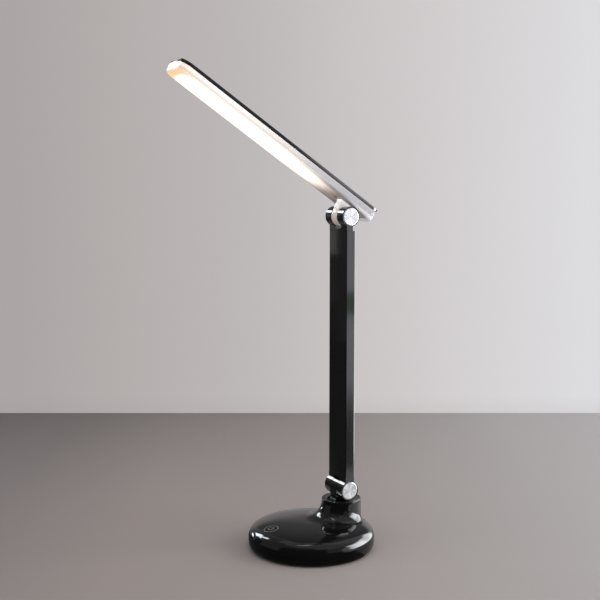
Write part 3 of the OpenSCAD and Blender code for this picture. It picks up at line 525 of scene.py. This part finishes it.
def lengthwise(along, stops):  # a ramp along the head; stops are in mm towards the tip
    h = headSize
    return ((along + h["tail"]) / (h["reach"] + h["tail"])).ramp(
        [((t + h["tail"]) / (h["reach"] + h["tail"]), (*colour, 1)) for t, colour in stops])


def diffuserSheet():
    finish = Finish("opalSheet", Specular_IOR_Level=0.35, Emission_Strength=glowLook["sheet"])
    place = finish.place()
    along = place.along(headHinge, headForward)
    finish.feed("Base Color", place.noise(40, 3).blend((0.52, 0.50, 0.48, 1), (0.60, 0.58, 0.56, 1)))
    uneven = along + (place.stretched(1, 0.35, 0.35).noise(130, 2) - 0.5) * glowLook["uneven"]
    core = lengthwise(uneven, [(6, (0, 0, 0)), (16, (0.008, 0.006, 0.004)), (24, (0.028, 0.022, 0.017)),
                              (34, (0.08, 0.065, 0.053)), (46, (0.19, 0.175, 0.15)), (62, (0.38, 0.36, 0.33)),
                              (90, (1, 0.97, 0.90)), (229, (1, 0.96, 0.87))])
    edge = ((headInward(place, along) - glowLook["coreStart"]) / glowLook["coreFeather"]).eased()
    end = ((headSize["reach"] - along - glowLook["endStart"]) / glowLook["endFeather"]).eased()
    border = lengthwise(along, [(6, (0, 0, 0)), (30, (0.018, 0.012, 0.008)), (60, (0.17, 0.115, 0.07)),
                                (120, (0.195, 0.125, 0.07)), (229, (0.19, 0.108, 0.05))])
    finish.feed("Emission Color", (edge * end).blend(border, core))
    finish.feed("Roughness", place.noise(220, 2) * 0.08 + 0.34)
    finish.feed("Normal", place.noise(500, 2).relief(0.000004, 0.1))
    return finish.material


def milkyWhite():
    finish = Finish("milkyWhite", Specular_IOR_Level=0.12, Emission_Strength=glowLook["frame"])
    place = finish.place()
    along = place.along(headHinge, headForward)
    up = place.along(headHinge + headUp * headSize["drop"] * mm, headUp)
    finish.feed("Base Color", place.noise(35, 3).blend((0.74, 0.74, 0.78, 1), (0.79, 0.79, 0.83, 1)))
    # Painted glow: the lamp's light through the milky plastic is painted as emission, in bands up the side wall,
    # darkest near the hinge and lighter towards the tip, with a faint glow at the tail and a bright end face.
    upper = lengthwise(along, [(0, (0.0, 0.0, 0.0)), (25, (0.0, 0.0, 0.0)), (60, (0.08, 0.07, 0.06)),
                               (110, (0.27, 0.235, 0.19)), (135, (0.34, 0.305, 0.255)), (180, (0.42, 0.385, 0.36)),
                               (203, (0.35, 0.305, 0.285)), (216, (0.41, 0.32, 0.23)), (228.3, (0.36, 0.255, 0.175)),
                               (228.8, (0.7, 0.7, 0.72))])
    lower = lengthwise(along, [(-5, (0.15, 0.145, 0.16)), (18, (0.03, 0.028, 0.03)), (34, (0.04, 0.03, 0.022)),
                               (60, (0.30, 0.27, 0.22)), (100, (0.62, 0.57, 0.48)), (205, (0.60, 0.52, 0.40)),
                               (222, (0.50, 0.31, 0.17)), (228.3, (0.42, 0.25, 0.13)), (228.8, (0.7, 0.7, 0.72))])
    middle = lengthwise(along, [(18, (0.0, 0.0, 0.0)), (60, (0.07, 0.055, 0.04)), (120, (0.22, 0.175, 0.13)),
                                (200, (0.26, 0.18, 0.12)), (222, (0.20, 0.115, 0.06)), (228.3, (0.18, 0.10, 0.05)),
                                (228.8, (0.7, 0.7, 0.72))])
    low = ((up - glowLook["lowStart"]) / glowLook["lowFeather"]).clamped()
    high = ((up - glowLook["highStart"]) / glowLook["highFeather"]).clamped()
    finish.feed("Emission Color", high.blend(low.blend(lower, middle), upper))
    finish.feed("Roughness", place.noise(90, 3) * 0.08 + 0.28)
    finish.feed("Normal", place.noise(400, 2).relief(0.000004, 0.08))
    return finish.material


def hingeWhite():  # the sheet's light shining into the knuckle from above is painted as a glow, brighter towards the top
    finish = Finish("hingeWhite", Specular_IOR_Level=0.12, Emission_Strength=1.0)
    place = finish.place()
    up = (place.along(headHinge, headUp) + glowLook["hingeBelow"]) / glowLook["hingeSpan"]
    # painted light: the glow fades from the top of the knuckle downwards
    glow = up.ramp([(0.0, (0.10, 0.07, 0.05, 1)), (0.5, (0.20, 0.165, 0.135, 1)), (0.75, (0.42, 0.40, 0.38, 1)),
                    (1.0, (0.60, 0.59, 0.58, 1))])
    finish.feed("Emission Color", glow)
    finish.feed("Base Color", place.noise(40, 3).blend((0.80, 0.79, 0.77, 1), (0.86, 0.85, 0.83, 1)))
    finish.feed("Roughness", place.noise(80, 3) * 0.1 + 0.26)
    finish.feed("Normal", place.noise(900, 2).relief(0.000004, 0.3))
    return finish.material


def simple(name, low, high, scale, rough, roughSpread, bumpScale, bump, metallic=0.0):
    finish = Finish(name, Metallic=metallic)
    place = finish.place()
    finish.feed("Base Color", place.noise(scale, 3).blend((*low, 1), (*high, 1)))
    finish.feed("Roughness", place.noise(scale * 2, 3) * roughSpread + rough)
    finish.feed("Normal", place.noise(bumpScale, 2).relief(bump, 0.5))
    return finish.material


def turnedAluminium():  # fine circular brushing around the local Z axis; the light and dark radial sectors and streaks in its colour are painted sheen, the rings are turning marks
    finish = Finish("turnedAluminium", Metallic=1.0, Anisotropic=0.5)
    place = finish.place()
    flat = place.stretched(1, 1, 0)
    ray = finish.start.node("ShaderNodeVectorMath", {"operation": "NORMALIZE"}, {0: flat})
    sheenSector = ray.noise(1.6, 2)
    sheenStreaks = ray.noise(26, 3)
    reach = finish.start.node("ShaderNodeVectorMath", {"operation": "LENGTH"}, {0: flat}, out="Value")
    rings = finish.start.node("ShaderNodeTexNoise", {"noise_dimensions": "1D"}, {"W": reach * 9000, "Scale": 1.0})
    # painted sheen in radial sectors and streaks, with real turning rings
    paintedSheenAndMarks = (sheenSector - 0.5) * 1.3 + (sheenStreaks - 0.5) * 0.6 + (rings - 0.5) * 0.3 + 0.52
    finish.feed("Base Color", paintedSheenAndMarks.clamped().blend((0.30, 0.305, 0.315, 1), (0.80, 0.805, 0.815, 1)))
    finish.feed("Roughness", rings * 0.1 + 0.17)
    return finish.material


def dimpledPad():
    finish = Finish("dimpledPad")
    place = finish.place()
    cells = finish.start.node("ShaderNodeTexVoronoi", {"feature": "DISTANCE_TO_EDGE"},
                              {"Vector": place, "Scale": 420.0})
    finish.feed("Base Color", place.noise(60, 3).blend((0.03, 0.03, 0.032, 1), (0.045, 0.044, 0.045, 1)))
    finish.feed("Roughness", place.noise(200, 2) * 0.15 + 0.72)
    finish.feed("Normal", cells.relief(0.0002, 0.6))
    return finish.material


def circuitBoard():
    finish = Finish("circuitBoard")
    place = finish.place()
    tracks = finish.start.node("ShaderNodeTexBrick", {"offset": 0.37, "squash": 0.6},
                               {"Vector": place, "Scale": 240.0, "Mortar Size": 0.06, "Color1": (0, 0, 0, 1),
                                "Color2": (0, 0, 0, 1), "Mortar": (1, 1, 1, 1)}, out="Fac")
    finish.feed("Base Color", tracks.blend((0.018, 0.11, 0.055, 1), (0.035, 0.19, 0.09, 1)))
    finish.feed("Roughness", place.noise(150, 2) * 0.1 + 0.28)
    finish.feed("Normal", tracks.relief(0.00004, 0.5))
    return finish.material


slotFinish = {
    "gloss_black": glossBlack(),
    "satin_black": satinBlack(),
    "arm_gloss": glossBlack("armGlossBlack", 0.8),
    "cover_gloss": glossBlack("coverGlossBlack", 0.9),
    "milky_white": milkyWhite(),
    "diffuser": diffuserSheet(),
    "hinge_white": hingeWhite(),
    "pad": dimpledPad(),
    "ballast": simple("castBallast", (0.22, 0.22, 0.23), (0.36, 0.36, 0.36), 90, 0.45, 0.2, 700, 0.0001, 0.9),
    "steel": simple("zincSteel", (0.55, 0.55, 0.56), (0.70, 0.70, 0.70), 160, 0.26, 0.15, 1500, 0.00002, 1.0),
    "aluminium": turnedAluminium(),
    "fibre": simple("frictionFibre", (0.04, 0.04, 0.042), (0.065, 0.062, 0.06), 400, 0.6, 0.2, 1800, 0.00005),
    "bearing": simple("slipperyNylon", (0.74, 0.73, 0.70), (0.80, 0.79, 0.76), 50, 0.38, 0.1, 900, 0.00002),
    "board": circuitBoard(),
    "led_board": simple("whiteCoatedBoard", (0.78, 0.78, 0.78), (0.85, 0.85, 0.85), 120, 0.32, 0.1, 900, 0.00001),
    "parts": simple("mouldedParts", (0.045, 0.045, 0.05), (0.075, 0.075, 0.08), 500, 0.4, 0.15, 2500, 0.00003),
    "chips": simple("phosphorChips", (0.78, 0.62, 0.18), (0.90, 0.78, 0.30), 900, 0.45, 0.1, 3000, 0.00002),
    "reflector": simple("whiteFilm", (0.86, 0.86, 0.86), (0.92, 0.92, 0.92), 80, 0.5, 0.1, 1200, 0.00001),
    "brass": simple("springBrass", (0.52, 0.38, 0.14), (0.68, 0.52, 0.22), 300, 0.28, 0.12, 1500, 0.00002, 1.0),
    "lead": simple("leadSleeve", (0.025, 0.025, 0.027), (0.038, 0.037, 0.038), 200, 0.45, 0.12, 1200, 0.00003),
}
nodeSlot = {part["node"]: part["material_slot"] for part in frame["record"]["subparts"]}
for nodeName, nodeObject in frame["nodes"].items():
    for materialSlot in nodeObject.material_slots:
        materialSlot.material = slotFinish[nodeSlot[nodeName]]
print("finishes made:", len(slotFinish))


shellSize = {"baseR": 65.0, "top": 28.2, "bulgeZ": 9.5, "seamZ": 9.0, "wall": 2.5, "shoulderE": 0.6,
             "neckR": 20.45, "neckTop": 47.4, "neckY": hingeAxis["y"], "flareFront": 18.0, "flareBack": 4.5,
             "rimRound": 0.6, "recessR": 18.25, "recessDepth": 8.8, "webT": 2.8, "studHoleR": 6.05, "lipBevel": 0.25,
             "shoulderStart": 0.925, "sideSpread": 1.3, "sides": 252, "rimSteps": 4, "flareSteps": 16, "domeSteps": 22,
             "sideSteps": 26, "insideSteps": 8}
inletSize = {"z": 15.0, "noseR": 4.8, "y": 58, "deep": 12}


def domeZ(r, wall=0.0):
    s = shellSize
    inner = max(1 - (r / (s["baseR"] - wall)) ** (2 / s["shoulderE"]), 0)
    return s["bulgeZ"] + (s["top"] - s["bulgeZ"] - wall) * inner ** (s["shoulderE"] / 2)


def domeR(z, wall=0.0):
    s = shellSize
    inner = max(1 - ((z - s["bulgeZ"]) / (s["top"] - s["bulgeZ"] - wall)) ** (2 / s["shoulderE"]), 0)
    return (s["baseR"] - wall) * inner ** (s["shoulderE"] / 2)


def footR(z):
    footRadius, inset, bulge, squareness = 58.5, 6.5, shellSize["bulgeZ"], 0.9
    return footRadius + inset * (1 - ((bulge - z) / bulge) ** (2 / squareness)) ** (squareness / 2)


def makeShell():
    s = shellSize
    n = s["sides"]
    angles = [math.atan2(s["baseR"] * math.sin(2 * math.pi * i / n) - s["neckY"],
                         s["baseR"] * math.cos(2 * math.pi * i / n)) for i in range(n)]

    def reach(a, r):
        b = s["neckY"] * math.sin(a)
        return -b + math.sqrt(b * b - s["neckY"] ** 2 + r * r)

    def flare(a):
        return (s["flareFront"] + s["flareBack"]) / 2 - (s["flareFront"] - s["flareBack"]) / 2 * math.sin(a)

    def at(a, rho, z):
        return (rho * math.cos(a) * mm, (s["neckY"] + rho * math.sin(a)) * mm, z * mm)

    def onDome(a, rho, lift, wall=0.0):
        x, y = rho * math.cos(a), s["neckY"] + rho * math.sin(a)
        return at(a, rho, domeZ(math.hypot(x, y), wall) + lift)

    def flat(rho, z):
        return [at(a, rho, z) for a in angles]

    webTop = s["neckTop"] - s["recessDepth"]
    webBottom = webTop - s["webT"]
    rings = [flat(s["recessR"] - 1, webBottom), flat(s["studHoleR"], webBottom), flat(s["studHoleR"], webTop),
             flat(s["recessR"], webTop), flat(s["recessR"], s["neckTop"] - s["lipBevel"]),
             flat(s["recessR"] + s["lipBevel"], s["neckTop"])]
    for step in range(s["rimSteps"] + 1):  # rounded outer rim
        t = math.radians(90 * (1 - step / s["rimSteps"]))
        rings.append(flat(s["neckR"] - s["rimRound"] + s["rimRound"] * math.cos(t),
                          s["neckTop"] - s["rimRound"] + s["rimRound"] * math.sin(t)))
    for step in range(s["flareSteps"] + 1):
        t = math.radians(90 * (1 - step / s["flareSteps"]))
        rings.append([onDome(a, s["neckR"] + flare(a) * (1 - math.sin(t)), flare(a) * (1 - math.cos(t)))
                      for a in angles])
    edge = s["shoulderStart"] * s["baseR"]
    for step in range(1, s["domeSteps"] + 1):
        part = step / s["domeSteps"]
        rings.append([onDome(a, s["neckR"] + flare(a) + (reach(a, edge) - s["neckR"] - flare(a)) * part, 0)
                      for a in angles])
    steep = domeZ(edge)
    for step in range(1, s["sideSteps"] + 1):
        z = steep + (s["bulgeZ"] - steep) * math.sin(math.pi / 2 * step / s["sideSteps"]) ** s["sideSpread"]
        rings.append([at(a, reach(a, domeR(z)), z) for a in angles])
    rings.append([at(a, reach(a, footR(s["seamZ"])), s["seamZ"]) for a in angles])
    inner = s["baseR"] - s["wall"]
    rings.append([at(a, reach(a, inner), s["seamZ"]) for a in angles])
    for step in range(s["insideSteps"] + 1):  # inside of the dome, from the wall up to under the neck
        z = s["bulgeZ"] + (domeZ(edge - s["wall"], s["wall"]) - s["bulgeZ"]) * step / s["insideSteps"]
        rings.append([at(a, reach(a, domeR(z, s["wall"])), z) for a in angles])
    for part in (0.75, 0.5, 0.25, 0):
        rings.append([onDome(a, s["recessR"] - 1 + (reach(a, edge - s["wall"]) - s["recessR"] + 1) * part, 0,
                             s["wall"]) for a in angles])
    shell = ringMesh("baseShellSkin", rings, loop=True)
    smooth = shaded(shell)
    source = newObject("shellShading", smooth.data.copy())
    radius, deep = inletSize["noseR"] * mm, inletSize["deep"] * mm
    hole = turned("inletHole", [(0, 0), (radius, 0), (radius, deep), (0, deep)])
    hole.data.transform(Matrix.Translation((0, inletSize["y"] * mm, inletSize["z"] * mm))
                        @ Matrix.Rotation(-math.pi / 2, 4, "X"))
    cut = shell.modifiers.new("inlet", "BOOLEAN")
    cut.operation, cut.solver, cut.object = "DIFFERENCE", "EXACT", hole
    settle(shell)
    carry = shell.modifiers.new("keepShading", "DATA_TRANSFER")
    carry.object = source
    carry.use_loop_data = True
    carry.data_types_loops = {"CUSTOM_NORMAL"}
    carry.loop_mapping = "POLYINTERP_NEAREST"
    settle(shell)
    for spare in (source, hole):
        bpy.data.objects.remove(spare)
    return finishPiece(shell, slotFinish["gloss_black"], "base", "gloss_black", "base_shell")


makeShell()

traySize = {"steps": 26, "floorZ": 0.8, "padR": 54.4, "padDepth": 1.5, "lipR": 62.3, "rim": 8.7, "lipTop": 10.1,
            "lipWall": 1.5, "sideFoot": 2, "insideR": 56, "insideZ": 3}


def makeTray():
    t = traySize
    outer = []
    for i in range(t["steps"] + 1):
        z = t["floorZ"] + (t["rim"] - t["floorZ"]) * (i / t["steps"]) ** 2
        outer.append((footR(z) * mm, z * mm))
    profile = [(0, t["padDepth"] * mm), (t["padR"] * mm, t["padDepth"] * mm), (t["padR"] * mm, t["floorZ"] * mm)]
    profile += outer
    lipInside = t["lipR"] - t["lipWall"]
    profile += [(r * mm, z * mm) for r, z in
                ((t["lipR"], t["rim"]), (t["lipR"], t["lipTop"]), (lipInside, t["lipTop"]),
                 (lipInside, t["rim"] - t["sideFoot"]), (t["insideR"], t["insideZ"]), (0, t["insideZ"]))]
    tray = shaded(turned("baseTraySkin", profile, 252))
    finishPiece(tray, slotFinish["gloss_black"], "base", "satin_black", "base_tray")


makeTray()

markSize = {"y": -46.4, "ringR": 7.1, "stroke": 0.42, "glyphR": 2.9, "gapDeg": 34, "barFrom": 0.6, "barTo": 3.9,
            "proud": 0.03, "deep": 0.12}


def makeTouchMark():  # a thin printed ring with the usual on-off sign inside
    m = markSize
    mesh = bpy.data.meshes.new("touchMark")
    bm = bmesh.new()

    def strip(path, closed):
        rows = []
        for k, (x, y) in enumerate(path):
            last = len(path) - 1
            before = path[k - 1] if closed or k else path[0]
            after = path[(k + 1) % len(path)] if closed or k < last else path[last]
            run = Vector((after[0] - before[0], after[1] - before[1], 0)).normalized()
            side = Vector((-run.y, run.x, 0)) * m["stroke"] / 2
            row = []
            for sign, lift in ((-1, -m["deep"]), (-1, m["proud"]), (1, m["proud"]), (1, -m["deep"])):
                px, py = x + side.x * sign, y + side.y * sign
                row.append(bm.verts.new((px * mm, (py + m["y"]) * mm,
                                         (domeZ(math.hypot(px, py + m["y"])) + lift) * mm)))
            rows.append(row)
        pairs = list(zip(rows, rows[1:])) + ([(rows[-1], rows[0])] if closed else [])
        for one, two in pairs:
            for i in range(4):
                bm.faces.new((one[i], one[(i + 1) % 4], two[(i + 1) % 4], two[i]))
        if not closed:
            bm.faces.new(rows[0])
            bm.faces.new(list(reversed(rows[-1])))

    def arc(radius, fromDeg, toDeg, steps):
        return [(radius * math.cos(math.radians(fromDeg + (toDeg - fromDeg) * i / steps)),
                 radius * math.sin(math.radians(fromDeg + (toDeg - fromDeg) * i / steps))) for i in range(steps + 1)]

    strip(arc(m["ringR"], 0, 360, 96)[:-1], True)
    strip(arc(m["glyphR"], 90 + m["gapDeg"], 450 - m["gapDeg"], 48), False)
    strip([(0, m["barFrom"] + (m["barTo"] - m["barFrom"]) * i / 6) for i in range(7)], False)
    bmesh.ops.recalc_face_normals(bm, faces=bm.faces)
    bm.to_mesh(mesh)
    bm.free()
    mark = shaded(newObject("touchMark", mesh))
    ink = simple("markInk", (0.31, 0.275, 0.24), (0.39, 0.35, 0.31), 900, 0.4, 0.1, 2500, 0.00001)
    finishPiece(mark, ink, "base", "milky_white")


makeTouchMark()
print("base made")


capSize = {"r": 8.8, "t": 1.6, "bevel": 0.35, "seatX": 15.9, "seatGap": 0.02, "dish": 0.1}


def makeCaps(node, z):
    c = capSize
    face = c["seatX"] + c["t"]
    seat = (c["seatX"] + c["seatGap"]) * mm
    profile = [(0, seat), (c["r"] * mm, seat), (c["r"] * mm, (face - c["bevel"]) * mm)]
    for step in range(1, 4):
        t = math.radians(30 * step)
        profile.append(((c["r"] - c["bevel"] + c["bevel"] * math.cos(t)) * mm,
                        (face - c["bevel"] + c["bevel"] * math.sin(t)) * mm))
    for part in (0.9, 0.6, 0.3):
        profile.append((c["r"] * part * mm, (face - c["dish"] * (1 - part)) * mm))
    profile.append((0, (face - c["dish"]) * mm))
    right = turned("capRight", profile, 96)
    left = turned("capLeft", [(r, -h) for r, h in profile], 96)
    made = shaded(joined(node.replace("_", "") + "Turned", right, left), 40)
    made.matrix_world = Matrix.Translation((0, hingeAxis["y"] * mm, z * mm)) @ Matrix.Rotation(math.pi / 2, 4, "Y")
    finishPiece(made, slotFinish["aluminium"], "arm", "aluminium", node)


makeCaps("lower_hinge_caps", hingeAxis["lower"])
makeCaps("upper_hinge_caps", hingeAxis["upper"])


def headPoint(x, y, z):  # y runs from the hinge axis away from the tip, z from the axis up to the cover
    return headHinge + Vector((x, 0, 0)) * mm - headForward * y * mm + headUp * z * mm


def headPlan(inset):  # the outline from above, with slightly rounded creases where the end face cuts the corners
    h = headSize
    crease = h["crease"]
    cut = h["tipR"] - math.sqrt(h["tipR"] ** 2 - (h["tipR"] - h["tipSide"]) ** 2)
    tailX, tailY = h["w"] / 2 - h["tailR"], h["tail"] - h["tailR"]
    tipX, tipY = h["w"] / 2 - h["tipR"], h["tipR"] - cut - h["reach"]
    tailRound, tipRound = h["tailR"] - inset, h["tipR"] - inset
    creaseY = inset + crease - h["reach"]
    creaseX = tipX + math.sqrt((tipRound - crease) ** 2 - (tipY - creaseY) ** 2)
    turn = math.degrees(math.atan2(tipY - creaseY, creaseX - tipX))
    half = []

    def arc(x, y, r, fromDeg, toDeg, steps):
        for k in range(steps + 1):
            a = math.radians(fromDeg + (toDeg - fromDeg) * k / steps)
            half.append((x + r * math.cos(a), y + r * math.sin(a)))

    arc(tailX, tailY, tailRound, 90, 0, 16)
    for k in range(1, 30):
        half.append((h["w"] / 2 - inset, tailY + (tipY - tailY) * (k / 30) ** 1.6))
    arc(tipX, tipY, tipRound, 0, -turn, 16)
    arc(creaseX, creaseY, crease, -turn - 2, -90, 5)
    return half + [(-x, y) for x, y in reversed(half)]


def rounded(corners, steps=4):  # corners are (inset, z, radius); a section with its corners turned round
    made = []
    for k, (x, z, r) in enumerate(corners):
        here = Vector((x, z))
        if not r:
            made.append((x, z))
            continue
        before = (Vector(corners[k - 1][:2]) - here).normalized()
        after = (Vector(corners[(k + 1) % len(corners)][:2]) - here).normalized()
        reach = r / math.tan(before.angle(after) / 2)
        one, two = here + before * reach, here + after * reach
        for step in range(steps + 1):
            t = step / steps
            made.append(tuple(one * (1 - t) ** 2 + here * 2 * t * (1 - t) + two * t ** 2))
    return made


def rimDrop(y):  # how far the frame's lower rim reaches below its plane towards the tail
    h = headSize
    part = max(0, (y - h["rimStart"]) / (h["tail"] - h["rimStart"]))
    return h["rimDrop"] * min(part, 1) ** h["rimCurve"]


def makeHeadFrame():
    h = headSize
    window = h["wall"] + h["draft"]
    section = rounded([
        (h["seamBevel"], h["frameH"], 0), (0, h["frameH"] - h["seamBevel"], 0.1), (h["draft"], h["bevel"], 0.5),
        (h["draft"] + h["bevel"], 0, 0.25), (window, 0, 0.15), (window, h["ledgeZ"], 0),
        (window + h["ledgeIn"], h["ledgeZ"], 0), (window + h["ledgeIn"], h["ledgeZ"] + h["ledgeH"], 0),
        (h["wall"], h["ledgeZ"] + h["ledgeH"], 0), (h["wall"], h["frameH"], 0)])
    rings = []
    for inset, z in section:
        inside = inset > window + 0.01 or inset > window - 0.01 and z > 0.5 or inset == h["wall"]
        share = 0 if inside else min(max((h["frameH"] - z) / (h["frameH"] - h["bevel"]), 0), 1)
        rings.append([headPoint(x, y, h["drop"] + z - rimDrop(y) * share) for x, y in headPlan(inset)])
    ring = ringMesh("headFrameRing", rings, loop=True)
    lipY = h["tail"] - h["tailLip"]
    rings = []
    for inset, z in [(0.0, h["frameH"] - h["seamBevel"]), (0.0, h["frameH"] + h["coverH"] - 0.5),
                     (0.15, h["frameH"] + h["coverH"] - 0.15), (0.5, h["frameH"] + h["coverH"])]:
        rings.append([headPoint(x, max(y, lipY), h["drop"] + z) for x, y in headPlan(inset)
                      if y > lipY - h["lipOverlap"]])
    made = shaded(joined("headFrameMoulded", ring, ringMesh("tailLip", rings)), 35)
    finishPiece(made, slotFinish["milky_white"], "head", "milky_white", "head_frame")


def makeHeadCover():
    h = headSize
    endY = h["tail"] - h["tailLip"] - 0.1
    section = rounded([(5.0, 0, 0), (h["seamBevel"], 0, 0), (0, h["seamBevel"], 0.1), (0, h["coverH"], 1.0),
                       (6.0, h["coverH"], 0)], 6)
    rings = [[headPoint(x, min(y, endY), h["drop"] + h["frameH"] + z) for x, y in headPlan(inset)]
             for inset, z in section]
    made = shaded(ringMesh("headCoverPlate", rings), 35)
    finishPiece(made, slotFinish["cover_gloss"], "head", "gloss_black", "head_cover")


knuckleSize = {"w": 11.0, "ear": 10.1, "bore": 3.05, "front": 11.5, "back": 8.0, "top": 16.8, "round": 0.45,
               "backFoot": 6.4, "earFrom": 6.16, "earToDeg": -184, "frontCurve": (-12.2, 7.5), "frontTop": 14.5,
               "flange": (29.4, 22.0, 17.0), "flangeZ": (14.7, 16.8)}


def makeKnuckle():
    k = knuckleSize
    outline = []  # (y, z) round the hinge axis, clockwise from the top of the back
    outline += [(k["back"], k["top"] - (k["top"] - k["backFoot"]) * t / 6) for t in range(7)]
    start, stop = math.degrees(math.atan2(k["earFrom"], k["back"])), k["earToDeg"]
    outline += [(k["ear"] * math.cos(math.radians(start + (stop - start) * t / 44)),
                 k["ear"] * math.sin(math.radians(start + (stop - start) * t / 44))) for t in range(1, 45)]
    one, two, three = Vector(outline[-1]), Vector(k["frontCurve"]), Vector((-k["front"], k["frontTop"]))
    outline += [tuple(one * (1 - t / 9) ** 2 + two * 2 * (t / 9) * (1 - t / 9) + three * (t / 9) ** 2)
                for t in range(1, 10)]
    outline += [(-k["front"], k["top"])]
    outline += [(-k["front"] + (k["front"] + k["back"]) * t / 8, k["top"]) for t in range(1, 8)]

    def ring(x, inset):
        made = []
        for y, z in outline:
            far = math.hypot(y, z)
            made.append(headPoint(x, y * (far - inset) / far, z * (far - inset) / far))
        return made

    def bore(x):
        return [headPoint(x, k["bore"] * y / math.hypot(y, z), k["bore"] * z / math.hypot(y, z)) for y, z in outline]

    half = k["w"] / 2
    steps = [(k["round"] * (1 - math.sin(math.radians(a))), k["round"] * (1 - math.cos(math.radians(a))))
             for a in (0, 22.5, 45, 67.5, 90)]
    rings = [bore(-half)] + [ring(-half + low, inset) for inset, low in steps]
    rings += [ring(half - low, inset) for inset, low in reversed(steps)] + [bore(half)]
    web = ringMesh("knuckleWeb", rings, loop=True)
    wide, front, back = k["flange"]
    plate = ringMesh("knucklePlate", [[headPoint(x, y, z) for x, y in ((-wide / 2, -front), (wide / 2, -front),
                                                                      (wide / 2, back), (-wide / 2, back))]
                                      for z in k["flangeZ"]])
    made = shaded(joined("headKnuckleMoulded", web, plate), 40)
    finishPiece(made, slotFinish["hinge_white"], "head", "hinge_white", "head_knuckle")


makeHeadFrame()
makeHeadCover()
makeKnuckle()

roundedPieces = {  # name, radius, body, and whether only the edges along Z are rounded
    "swivel_post": ("swivelPostRounded", 0.25, "turret", False),
    "lower_fork": ("lowerForkRounded", 0.3, "arm", False),
    "upper_fork": ("upperForkRounded", 0.3, "arm", False),
    "arm_front_shell": ("armShellRounded", 0.15, "arm", True),
}
for nodeName, (pieceName, width, body, upright) in roundedPieces.items():
    slotName = nodeSlot[nodeName]
    black = slotName in ("gloss_black", "satin_black")
    piece = softened(nodeName, pieceName, width * mm, upright)
    finishPiece(piece, slotFinish["arm_gloss" if black else slotName], body, slotName, nodeName)
frame["nodes"]["arm_rear_cover"].material_slots[0].material = slotFinish["arm_gloss"]
print("hinges and arm made")
